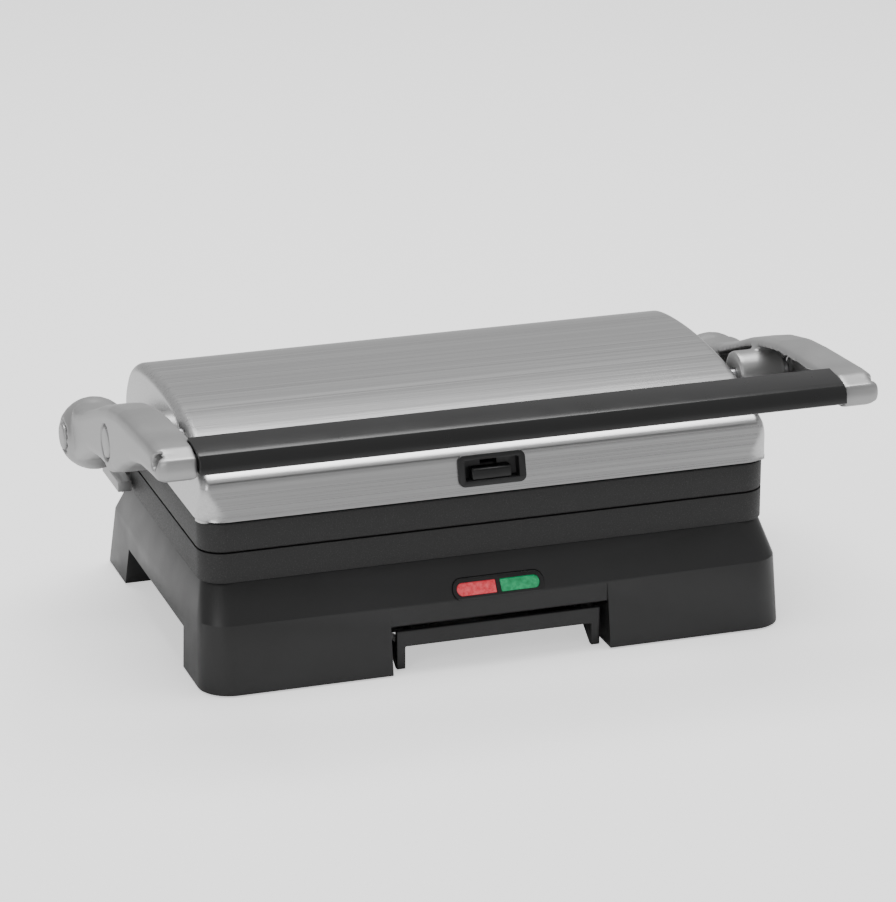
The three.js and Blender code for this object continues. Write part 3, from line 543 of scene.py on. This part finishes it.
def parallel(axis: Axis) -> Callable[[bmesh.types.BMEdge], bool]:
    """Test for edges that run along an axis.

    Args:
        axis: The axis.

    Returns:
        The test.
    """
    def test(edge: bmesh.types.BMEdge) -> bool:
        """Whether this edge runs along the axis."""
        step = edge.verts[1].co - edge.verts[0].co
        return abs(step[axis.value]) > 0.7 * step.length

    return test


def evaluated(mesh: bpy.types.Mesh, *steps: tuple[str, dict[str, object]]) -> bpy.types.Mesh:
    """Run modifiers over a mesh and keep the result.

    Args:
        mesh: Mesh to work on.
        *steps: Modifier types with their settings.

    Returns:
        The finished mesh.
    """
    holder = bpy.data.objects.new("holder", mesh)
    bpy.context.scene.collection.objects.link(holder)
    for kind, settings in steps:
        modifier = holder.modifiers.new(kind.lower(), kind)
        for key, value in settings.items():
            setattr(modifier, key, value)
    graph = bpy.context.evaluated_depsgraph_get()
    result = bpy.data.meshes.new_from_object(holder.evaluated_get(graph))
    bpy.data.objects.remove(holder)
    return result


def carve(body: bpy.types.Mesh, tool: bpy.types.Mesh, join: bool = False) -> bpy.types.Mesh:
    """Cut a tool out of a body, or join it on.

    Args:
        body: Mesh to change.
        tool: Mesh to cut with or to join.
        join: Whether the tool is joined and not cut.

    Returns:
        The changed mesh.
    """
    cutter = bpy.data.objects.new("cutter", tool)
    bpy.context.scene.collection.objects.link(cutter)
    operation = "UNION" if join else "DIFFERENCE"
    result = evaluated(body, ("BOOLEAN", {"object": cutter, "operation": operation, "solver": "EXACT",
                                          "use_self": True}))
    bpy.data.objects.remove(cutter)
    return result


def softened(mesh: bpy.types.Mesh, radius: float, segments: int = 2, angle: float = 32) -> bpy.types.Mesh:
    """Round a mesh's sharp edges.

    Args:
        mesh: Mesh to round.
        radius: Radius in millimetres.
        segments: Number of faces across an edge.
        angle: Least angle between faces, in degrees, that counts as an edge.

    Returns:
        The rounded mesh.
    """
    return evaluated(mesh, ("BEVEL", {"width": radius * MM, "segments": segments, "limit_method": "ANGLE",
                                      "angle_limit": math.radians(angle), "use_clamp_overlap": True,
                                      "profile": 0.5, "harden_normals": False}))


def node_copy(node: str) -> bpy.types.Mesh:
    """A frame node's mesh, copied, merged and freed of needless edges.

    Args:
        node: Name of the frame node.

    Returns:
        The clean copy.
    """
    bm = bmesh.new()
    bm.from_mesh(frame["nodes"][node].data)
    bmesh.ops.remove_doubles(bm, verts=bm.verts[:], dist=0.00001)
    bmesh.ops.dissolve_limit(bm, angle_limit=math.radians(1), verts=bm.verts[:], edges=bm.edges[:])
    mesh = bpy.data.meshes.new(node + "_copy")
    bm.to_mesh(mesh)
    bm.free()
    return mesh


@dataclass
class Piece:
    """One finished piece: its mesh, finish, body and the nodes that it stands for."""

    name: str
    mesh: bpy.types.Mesh
    finish: Finish
    body: Body
    stands_for: tuple[str, ...]
    sharp: float = 34

    def place(self) -> bpy.types.Object:
        """Put the piece in the scene, dress it and tie it to its body.

        Returns:
            The piece's object.
        """
        mesh = self.mesh
        mesh.name = self.name
        mesh.materials.clear()
        mesh.materials.append(self.finish.material())
        mesh.polygons.foreach_set("material_index", [0] * len(mesh.polygons))
        mesh.polygons.foreach_set("use_smooth", [True] * len(mesh.polygons))
        mesh.set_sharp_from_angle(angle=math.radians(self.sharp))
        piece = bpy.data.objects.new(self.name, mesh)
        bpy.context.scene.collection.objects.link(piece)
        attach(piece, self.body.value)
        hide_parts(*self.stands_for)
        LOG.info("%s: %d faces on %s", self.name, len(mesh.polygons), self.body.value)
        return piece


def softened_node(node: str, name: str, finish: Finish, body: Body, radius: float = 0.5) -> bpy.types.Object:
    """Place a softened copy of a frame node.

    Args:
        node: Name of the frame node.
        name: Name of the new piece.
        finish: Its finish.
        body: The body that it rides on.
        radius: Edge radius in millimetres.

    Returns:
        The piece's object.
    """
    return Piece(name, softened(node_copy(node), radius), finish, body, (node,)).place()


# ---------- base ----------
@dataclass
class BaseAssembly:
    """Housing, bottom cover, feet, brackets, electrics and drip tray."""

    ledge_drop: float = 17.4
    ledge_half_in: float = 0.9
    deck_half_in: float = 5.7
    ledge_front_in: float = 5.5
    deck_front_in: float = 17.5
    ledge_rear_in: float = 13.0
    deck_rear_in: float = 25.5
    front_corner: float = 16.0
    rear_corner: float = 6.0
    wall: float = 3.0
    arch_top: float = 22.0
    foot_floor: float = 5.5
    arch_front: float = 43.5
    arch_rear_top: float = 46.5
    arch_rear_foot: float = 37.5
    rear_arch_in: float = 44.7
    notch_margin: float = 3.5
    notch_rise: float = 3.4
    edge: float = 0.7
    window: float = 1.0
    post_play: float = 0.4
    post_slot_half: float = 4.9
    fit_play: float = 0.3
    bay_side_in: float = 1.2
    bay_front_in: float = 9.5
    bay_rear_in: float = 11.0
    drain_in: float = 12.3
    drain_radius: float = 6.5
    far: float = 260.0
    below: float = -5.0

    def body(self, grow: float, low: float, high: float) -> Workpiece:
        """Outer form of the housing, grown or shrunk sideways.

        Args:
            grow: Growth in millimetres, below nought for the inside.
            low: Lower level.
            high: Upper level.

        Returns:
            The form.
        """
        box = NodeBox.of("base_housing")
        ledge = box.hi.z - self.ledge_drop
        half, front, rear = box.hi.x, box.lo.y, box.hi.y
        rows = {
            "floor": (half, front, rear),
            "ledge": (half - self.ledge_half_in, front + self.ledge_front_in, rear - self.ledge_rear_in),
            "deck": (half - self.deck_half_in, front + self.deck_front_in, rear - self.deck_rear_in),
        }
        work = Workpiece()
        work.slab((-half - grow, front - grow, low), (half + grow, rear + grow, high))
        upright = parallel(Axis.Z)
        work.round_edges(lambda e: upright(e) and e.verts[0].co.y < 0, self.front_corner + grow, 9)
        work.round_edges(lambda e: upright(e) and e.verts[0].co.y > rear - 1 + grow,
                         self.rear_corner + grow, 5)
        work.split(Axis.Z, ledge)
        depth = rear - front + 2 * grow
        for vert in work.bm.verts:
            level = "ledge" if abs(vert.co.z - ledge) < 0.01 else "floor" if vert.co.z < ledge else "deck"
            w, f, r = rows[level]
            along = (vert.co.y - front + grow) / depth
            vert.co.x *= (w + grow) / (half + grow)
            vert.co.y = f - grow + along * (r - f + 2 * grow)
        return work

    def cutters(self) -> Workpiece:
        """Everything that is cut out of the housing.

        Returns:
            The cutters in one workpiece.
        """
        box, tray = NodeBox.of("base_housing"), NodeBox.of("drip_tray")
        pan, drain = NodeBox.of("lower_heat_reflector"), NodeBox.of("lower_grill_plate")
        light, post = NodeBox.of("light_bezel"), NodeBox.of("right_hinge_post")
        inlet = NodeBox.of("cord_inlet")
        far, below, top = self.far, self.below, box.hi.z
        work = self.body(-self.wall, box.lo.z, top - self.wall).keep_above(self.arch_top)
        front, rear = box.lo.y + self.arch_front, box.hi.y - self.arch_rear_top
        foot = box.hi.y - self.arch_rear_foot
        arch = [(front, below), (foot, below), (rear, self.arch_top), (front, self.arch_top)]
        work.prism(Axis.X, arch, -far, far)
        notch = tray.hi.x + self.notch_margin
        work.slab((-notch, -far, below), (notch, front + 1, tray.hi.z + self.notch_rise))
        work.slab((-notch, -far, below), (notch, box.lo.y + self.ledge_front_in, top - self.ledge_drop - 1))
        rear_half = box.hi.x - self.rear_arch_in
        work.slab((-rear_half, rear - 1, below), (rear_half, far, self.arch_top))
        for sign in (-1, 1):
            inner, outer = notch + self.wall, box.hi.x - self.wall - self.bay_side_in
            work.slab(sorted_corner(sign, inner, outer, box.lo.y + self.bay_front_in, self.foot_floor)[0],
                      sorted_corner(sign, inner, outer, front - self.wall, self.arch_top + 1)[1])
            inner = rear_half + self.wall
            work.slab(sorted_corner(sign, inner, outer, foot + self.wall, self.foot_floor)[0],
                      sorted_corner(sign, inner, outer, box.hi.y - self.bay_rear_in, self.arch_top + 1)[1])
            x0, x1 = post.lo.x - self.post_play, post.hi.x + self.post_play
            lo, hi = (x0, x1) if sign > 0 else (-x1, -x0)
            work.slab((lo, post.centre.y - self.post_slot_half, post.lo.z - 2),
                      (hi, post.centre.y + self.post_slot_half, top + 5))
        work.slab((pan.lo.x - self.window, pan.lo.y - self.window, top - self.wall - 1),
                  (pan.hi.x + self.window, pan.hi.y + self.window, top + 1))
        work.rod(Axis.Z, (0, drain.lo.y + self.drain_in), self.drain_radius, top - self.wall - 1, top + 1, 32)
        height = light.hi.z - light.lo.z + 2 * self.fit_play
        work.prism(Axis.Y, pill(light.hi.x + self.fit_play, height, light.centre.z), -far, light.hi.y + 1)
        work.rod(Axis.Y, (inlet.centre.x, inlet.centre.z), inlet.hi.x - inlet.centre.x + self.fit_play,
                 inlet.lo.y - 5, far, 32)
        return work

    def housing(self) -> None:
        """Build the housing's moulding."""
        box = NodeBox.of("base_housing")
        outer = self.body(0, box.lo.z, box.hi.z)
        shell = carve(outer.mesh("housing_outer"), self.cutters().mesh("housing_cutters"))
        shell = softened(shell, self.edge, 3, 25)
        Piece("housing_shell", shell, HOUSING, Body.BASE, ("base_housing",), 30).place()

    def small_parts(self) -> None:
        """Soften the cover, feet, screws, brackets, inlet and tray."""
        softened_node("bottom_cover", "bottom_panel", HOUSING, Body.BASE, 0.4)
        for end in ("front", "rear"):
            for side in Side:
                softened_node(f"{end}_{side.word}_foot", f"{end}_{side.word}_rubber", RUBBER, Body.BASE, 0.5)
        for i in range(1, 5):
            softened_node(f"cover_screw_{i}", f"bottom_screw_{i}", PLATED, Body.BASE, 0.2)
        for side in Side:
            softened_node(f"{side.word}_hinge_bracket", f"{side.word}_bracket_tab", CAST, Body.BASE, 0.8)
        softened_node("cord_inlet", "inlet_bush", BAR, Body.BASE, 0.4)
        softened_node("drip_tray", "tray_moulding", HOUSING, Body.TRAY, 0.5)

    def build(self) -> None:
        """Build every piece of the base."""
        self.housing()
        self.small_parts()


def sorted_corner(sign: int, inner: float, outer: float, y: float, z: float) -> tuple[Triple, Triple]:
    """Corners of a block mirrored to one side.

    Args:
        sign: Side, below nought for the left.
        inner: Distance of the inner face from the middle.
        outer: Distance of the outer face from the middle.
        y: Place along the depth.
        z: Height.

    Returns:
        The corner nearer to the left and the one nearer to the right.
    """
    left, right = sorted((sign * inner, sign * outer))
    return (left, y, z), (right, y, z)


def pill(half: float, height: float, level: float, segments: int = 12) -> list[Point]:
    """Outline of a pill in the front plane.

    Args:
        half: Half of its width.
        height: Its height.
        level: Height of its centre line.
        segments: Steps round each end.

    Returns:
        The outline's points.
    """
    radius = height / 2
    points = []
    for end, start in ((1, -math.pi / 2), (-1, math.pi / 2)):
        for i in range(segments + 1):
            angle = start + math.pi * i / segments
            points.append((end * (half - radius) + radius * math.cos(angle),
                           level + radius * math.sin(angle)))
    return points


# ---------- lights ----------
@dataclass
class SignalLights:
    """The pill-shaped frame on the front and its two lenses."""

    rim: float = 0.5

    def build(self) -> None:
        """Build the frame and the lenses."""
        softened_node("light_bezel", "light_frame", BAR, Body.BASE, self.rim)
        softened_node("red_light_lens", "red_lamp", RED, Body.BASE, self.rim * 0.8)
        softened_node("green_light_lens", "green_lamp", GREEN, Body.BASE, self.rim * 0.8)


# ---------- grill plates ----------
@dataclass
class GrillPlates:
    """The two ribbed plates."""

    corner: float = 13.0
    rim: float = 7.0
    depth: float = 6.0
    pocket: float = 5.0
    pocket_in: float = 9.0
    rib_pitch: float = 19.0
    rib_foot: float = 7.0
    rib_top: float = 4.0
    rib_end: float = 9.0
    rib_low: float = 0.8
    ribs: int = 13
    drain_in: float = 12.3
    drain_radius: float = 4.5
    edge: float = 1.1

    def block(self, box: NodeBox, inset: float, low: float, high: float) -> Workpiece:
        """Round-cornered block over the plate's plan.

        Args:
            box: The plate's box.
            inset: Distance in from its edge.
            low: Lower level.
            high: Upper level.

        Returns:
            The block.
        """
        work = Workpiece()
        work.slab((box.lo.x + inset, box.lo.y + inset, low), (box.hi.x - inset, box.hi.y - inset, high))
        work.round_edges(parallel(Axis.Z), max(self.corner - inset * 0.7, 3), 10)
        return work

    def plate(self, node: str, name: str, body: Body, up: bool) -> None:
        """Build one plate.

        Args:
            node: Frame node that it stands for.
            name: Name of the piece.
            body: Body that it rides on.
            up: Whether the ribs point up.
        """
        box = NodeBox.of(node)
        way = 1 if up else -1
        seam = box.hi.z if up else box.lo.z
        back = box.lo.z if up else box.hi.z
        floor = seam - way * self.depth
        mesh = self.block(box, 0, box.lo.z, box.hi.z).mesh(name)
        lo, hi = sorted((floor, seam + way * 2))
        grill = self.block(box, self.rim, lo, hi)
        ribs = Workpiece()
        crest = seam - way * self.rib_low
        foot, top = self.rib_foot / 2, self.rib_top / 2
        for i in range(self.ribs):
            x = (i - (self.ribs - 1) / 2) * self.rib_pitch
            grill_rib = [(x - foot, floor - way), (x + foot, floor - way), (x + top, crest), (x - top, crest)]
            ribs.prism(Axis.Y, grill_rib, box.lo.y + self.rim + self.rib_end,
                       box.hi.y - self.rim - self.rib_end)
        mesh = carve(mesh, grill.mesh(name + "_grill"))
        mesh = carve(mesh, ribs.mesh(name + "_ribs"), join=True)
        lo, hi = sorted((back - way * 2, back + way * self.pocket))
        mesh = carve(mesh, self.block(box, self.pocket_in, lo, hi).mesh(name + "_pocket"))
        if up:
            hole = Workpiece()
            hole.rod(Axis.Z, (0, box.lo.y + self.drain_in), self.drain_radius, box.lo.z - 5, box.hi.z + 5, 32)
            mesh = carve(mesh, hole.mesh(name + "_drain"))
        Piece(name, softened(mesh, self.edge, 3, 28), COATING, body, (node,), 30).place()

    def build(self) -> None:
        """Build both plates."""
        self.plate("lower_grill_plate", "lower_ribbed_plate", Body.BASE, True)
        self.plate("upper_grill_plate", "upper_ribbed_plate", Body.COVER, False)


# ---------- hood ----------
def flowing(points: Sequence[Point], steps: int) -> list[Point]:
    """Smooth curve through points.

    Args:
        points: Points that the curve passes.
        steps: Steps between each two points.

    Returns:
        Points along the curve.
    """
    line = [Vector(p) for p in points]
    ends = [2 * line[0] - line[1], *line, 2 * line[-1] - line[-2]]
    curve = []
    for a, b, c, d in zip(ends, ends[1:], ends[2:], ends[3:]):
        for i in range(steps):
            t = i / steps
            curve.append(0.5 * (2 * b + (c - a) * t + (2 * a - 5 * b + 4 * c - d) * t ** 2
                                + (3 * b - a - 3 * c + d) * t ** 3))
    return [tuple(p) for p in (*curve, line[-1])]


@dataclass
class Hood:
    """The steel hood over the upper plate."""

    thickness: float = 1.4
    side_lean: float = 0.125
    front_lean: float = 0.275
    shoulder_up: float = 16.4
    corner: float = 14.0
    end_radius: float = 5.0
    crown: tuple[Point, ...] = ((0, 0), (1.2, 2.6), (3.6, 4.6), (7.5, 6.6), (14.5, 10.4), (27.5, 15.8),
                                (39.5, 19.2))
    crest: tuple[Point, ...] = ((-39, -2.6), (-20, -0.7), (0, 0), (20, -0.7))
    tail: tuple[Point, ...] = ((-24.3, -2.4), (-14.3, -4.6), (-7.3, -8), (-2.8, -12.7), (-0.3, -20.2))
    crest_back: float = 17.85
    latch_margin: Point = (1.6, 1.2)
    rows_between: int = 5
    columns_round: int = 9
    columns_flat: int = 6

    def profile(self) -> list[Point]:
        """Side outline of the hood, from its front lower edge over the top to its rear lower edge.

        Returns:
            The outline's points.
        """
        box = NodeBox.of("lid_cover")
        low, top, front, rear = box.lo.z, box.hi.z, box.lo.y, box.hi.y
        shoulder = (front + self.front_lean * self.shoulder_up, low + self.shoulder_up)
        middle = (front + rear) / 2 + self.crest_back
        points = [(front + self.front_lean * self.shoulder_up * t, low + self.shoulder_up * t)
                  for t in (0, 0.35, 0.7, 0.9)]
        points += [(shoulder[0] + y, shoulder[1] + z) for y, z in self.crown]
        points += [(middle + y, top + z) for y, z in self.crest]
        points += [(rear + y, top + z) for y, z in self.tail]
        points += [(rear, low + 12), (rear, low + 6), (rear, low)]
        return flowing(points, self.rows_between)

    def rounding(self, point: Vector) -> float:
        """Radius of the hood's end at a point of its profile: wide at the foot, tight over the top.

        Args:
            point: Point of the profile.

        Returns:
            The radius.
        """
        box = NodeBox.of("lid_cover")
        rise = min(max((point.y - box.lo.z) / self.shoulder_up, 0), 1)
        blend = rise * rise * (3 - 2 * rise)
        return self.corner + (self.end_radius - self.corner) * blend

    def form(self) -> Workpiece:
        """Shape a flat grid into the hood's outer face, and close its two ends.

        Returns:
            The open-bottomed form.
        """
        box = NodeBox.of("lid_cover")
        line = [Vector(p) for p in self.profile()]
        rows = len(line)
        turns = [90 * (1 - i / self.columns_round) for i in range(self.columns_round)]
        columns = [(-1, t) for t in turns]
        columns += [(2 * i / self.columns_flat - 1, 0) for i in range(self.columns_flat + 1)]
        columns += [(1, t) for t in reversed(turns)]
        work = Workpiece()
        bmesh.ops.create_grid(work.bm, x_segments=len(columns) - 1, y_segments=rows - 1, size=1)
        ends = {-1: [], 1: []}
        for vert in work.bm.verts:
            column = round((vert.co.x + 1) / 2 * (len(columns) - 1))
            row = round((vert.co.y + 1) / 2 * (rows - 1))
            across, turn = columns[column]
            here = line[row]
            step = line[min(row + 1, rows - 1)] - line[max(row - 1, 0)]
            inward = Vector((step.y, -step.x)).normalized()
            radius = self.rounding(here)
            angle = math.radians(turn)
            spot = here + inward * radius * (1 - math.cos(angle))
            spot.y = max(spot.y, box.lo.z)
            half = box.hi.x - self.side_lean * (spot.y - box.lo.z)
            x = across * (half - radius) + math.copysign(radius * math.sin(angle), across) * (turn > 0)
            vert.co = (x, spot.x, spot.y)
            if column in (0, len(columns) - 1):
                ends[-1 if column == 0 else 1].append((row, vert))
        for side in ends.values():
            bmesh.ops.contextual_create(work.bm, geom=[v for _, v in sorted(side, key=lambda e: e[0])])
        bmesh.ops.remove_doubles(work.bm, verts=work.bm.verts[:], dist=0.01)
        bmesh.ops.recalc_face_normals(work.bm, faces=work.bm.faces[:])
        highest = max(work.bm.faces, key=lambda f: f.calc_center_median().z)
        if highest.normal.z < 0:
            bmesh.ops.reverse_faces(work.bm, faces=work.bm.faces[:])
        return work

    def open_latch(self, work: Workpiece) -> None:
        """Cut the latch opening through the form's front face.

        Args:
            work: The hood's form.
        """
        latch = NodeBox.of("latch_bezel")
        across, over = self.latch_margin
        left, right = latch.lo.x + across, latch.hi.x - across
        low, high = latch.lo.z + over, latch.hi.z - over
        cuts = [((x, 0, 0), (1, 0, 0)) for x in (left, right)] + [((0, 0, z), (0, 0, 1)) for z in (low, high)]
        for place, along in cuts:
            bmesh.ops.bisect_plane(work.bm, geom=work.bm.verts[:] + work.bm.edges[:] + work.bm.faces[:],
                                   dist=1e-4, plane_co=place, plane_no=along)
        centres = [(face, face.calc_center_median()) for face in work.bm.faces]
        inside = [face for face, spot in centres
                  if left < spot.x < right and low < spot.z < high and spot.y < latch.hi.y]
        bmesh.ops.delete(work.bm, geom=inside, context="FACES")

    def skin(self) -> None:
        """Build the steel skin with its rounded ends and the latch opening."""
        work = self.form()
        self.open_latch(work)
        bmesh.ops.scale(work.bm, vec=(MM, MM, MM), verts=work.bm.verts[:])
        form = bpy.data.meshes.new("hood_form")
        work.bm.to_mesh(form)
        mesh = evaluated(form, ("SOLIDIFY", {"thickness": self.thickness * MM, "offset": -1.0,
                                             "use_even_offset": True}))
        Piece("hood_skin", mesh, STEEL, Body.COVER, ("lid_cover",), 30).place()

    def build(self) -> None:
        """Build the skin and the liner under it."""
        self.skin()
        softened_node("lid_liner", "hood_liner", HOUSING, Body.COVER, 0.4)


# ---------- latch ----------
@dataclass
class Latch:
    """The storage latch in the front of the hood."""

    edge: float = 0.45

    def build(self) -> None:
        """Build the frame and its slider."""
        softened_node("latch_bezel", "latch_frame", HOUSING, Body.COVER, self.edge)
        softened_node("latch_slider", "latch_thumb_bar", BAR, Body.LATCH, self.edge)


# ---------- arms ----------
@dataclass
class Arms:
    """The two cast arms with their caps and bolts."""

    voxel: float = 0.9
    smoothing: int = 8
    edge: float = 0.4
    cap_edge: float = 0.9

    def casting(self, side: Side) -> None:
        """Build one arm as a smooth casting.

        Args:
            side: Left or right.
        """
        node = f"{side.word}_arm"
        mesh = evaluated(node_copy(node),
                         ("REMESH", {"mode": "VOXEL", "voxel_size": self.voxel * MM,
                                     "use_smooth_shade": True}),
                         ("SMOOTH", {"factor": 0.5, "iterations": self.smoothing}))
        Piece(f"{side.word}_casting", mesh, CAST, Body.COVER, (node,), 60).place()

    def build(self) -> None:
        """Build both arms and their small parts."""
        for side in Side:
            self.casting(side)
            softened_node(f"{side.word}_front_cap", f"{side.word}_hump_cap", CAST, Body.COVER, self.cap_edge)
            softened_node(f"{side.word}_rear_cap", f"{side.word}_knuckle_cap", CAST, Body.COVER,
                          self.cap_edge)
            softened_node(f"{side.word}_arm_bolt", f"{side.word}_hood_bolt", PLATED, Body.COVER, self.edge)
            softened_node(f"{side.word}_hinge_post", f"{side.word}_lift_post", PLATED, Body.POSTS, self.edge)
            softened_node(f"{side.word}_hinge_pin", f"{side.word}_pivot_pin", PLATED, Body.POSTS, self.edge)


# ---------- handle ----------
@dataclass
class Handle:
    """The full-width bar between the arms."""

    edge: float = 0.7

    def build(self) -> None:
        """Build the bar."""
        softened_node("handle_bar", "grip_bar", BAR, Body.COVER, self.edge)


# ---------- inner parts ----------
class InnerParts:
    """Frame nodes that keep their own shape and get a finish."""

    def build(self) -> None:
        """Dress every frame node that is still showing by its material slot."""
        by_slot = {finish.slot: finish for finish in FINISHES}
        for row in frame["record"]["subparts"]:
            node = frame["nodes"][row["node"]]
            if node.hide_render:
                continue
            finish = by_slot[row["material_slot"]]
            node.data.materials.clear()
            node.data.materials.append(finish.material())
            LOG.info("%s keeps its shape, in %s", row["node"], finish.slot)


# ---------- studio ----------
@dataclass
class Studio:
    """Pale floor, soft lights and the camera."""

    target: Triple = (10.7, 38.0, 69.1)
    distance: float = 1995.2
    turn: float = -18.4
    rise: float = 19.6
    lens: float = 156.17
    floor_half: float = 6.0
    floor_tone: float = 0.9
    floor_glow: float = 0.8
    sky: float = 0.5

    def camera(self) -> None:
        """Make the camera and aim it."""
        turn, rise = math.radians(self.turn), math.radians(self.rise)
        back = Vector((math.sin(turn) * math.cos(rise), -math.cos(turn) * math.cos(rise), math.sin(rise)))
        data = bpy.data.cameras.new("view")
        data.lens, data.sensor_width, data.sensor_fit = self.lens, 36, "AUTO"
        data.clip_end = 50
        camera = bpy.data.objects.new("view", data)
        bpy.context.scene.collection.objects.link(camera)
        camera.location = (Vector(self.target) + back * self.distance) * MM
        camera.rotation_euler = back.to_track_quat("Z", "Y").to_euler()
        bpy.context.scene.camera = camera

    def panel(self, name: str, place: Triple, size: Point, power: float) -> None:
        """Hang a soft light panel aimed at the press.

        Args:
            name: Name of the light.
            place: Its place in metres.
            size: Width and height in metres.
            power: Power in watts.
        """
        data = bpy.data.lights.new(name, "AREA")
        data.shape, data.size, data.size_y, data.energy = "RECTANGLE", *size, power
        lamp = bpy.data.objects.new(name, data)
        bpy.context.scene.collection.objects.link(lamp)
        lamp.location = place
        aim = Vector(place) - Vector((0, 0, 0.08))
        lamp.rotation_euler = aim.to_track_quat("Z", "Y").to_euler()

    def floor(self) -> None:
        """Lay a pale floor under the press, with a glow that only the camera sees."""
        bm = bmesh.new()
        bmesh.ops.create_grid(bm, x_segments=8, y_segments=8, size=self.floor_half)
        mesh = bpy.data.meshes.new("floor")
        bm.to_mesh(mesh)
        bm.free()
        nodes = Nodes("floor_paper")
        cloud = nodes.noise(nodes.object_space(), 3, 3)
        tone = self.floor_tone
        nodes.colour(nodes.shade(cloud, (tone,) * 3, (tone * 1.01,) * 3))
        nodes.fix(Roughness=0.9, Specular_IOR_Level=0.1)
        nodes.shader.inputs["Emission Color"].default_value = (1, 1, 1, 1)
        seen = nodes.add("ShaderNodeLightPath")
        glow = nodes.add("ShaderNodeMath", operation="MULTIPLY")
        glow.inputs[1].default_value = self.floor_glow
        nodes.link(seen.outputs["Is Camera Ray"], glow.inputs[0])
        nodes.link(glow.outputs[0], nodes.shader.inputs["Emission Strength"])
        mesh.materials.append(nodes.material)
        floor = bpy.data.objects.new("floor", mesh)
        bpy.context.scene.collection.objects.link(floor)

    def build(self) -> None:
        """Build the whole studio."""
        self.camera()
        self.floor()
        world = bpy.data.worlds.new("sky")
        world.use_nodes = True
        sky = world.node_tree.nodes["Background"]
        sky.inputs["Color"].default_value = (1, 1, 1, 1)
        sky.inputs["Strength"].default_value = self.sky
        bpy.context.scene.world = world
        self.panel("overhead", (0.1, 0.35, 1.9), (1.9, 1.0), 42)
        self.panel("front_left", (-1.5, -1.4, 1.0), (0.8, 1.2), 8)


def main() -> None:
    """Build every sub-assembly, dress the rest and set up the studio."""
    logging.basicConfig(level=logging.INFO, format="%(message)s")
    for part in (BaseAssembly(), SignalLights(), GrillPlates(), Hood(), Latch(), Arms(), Handle(),
                 InnerParts(), Studio()):
        part.build()
        LOG.info("%s done", type(part).__name__)


if __name__ == "__main__":
    main()
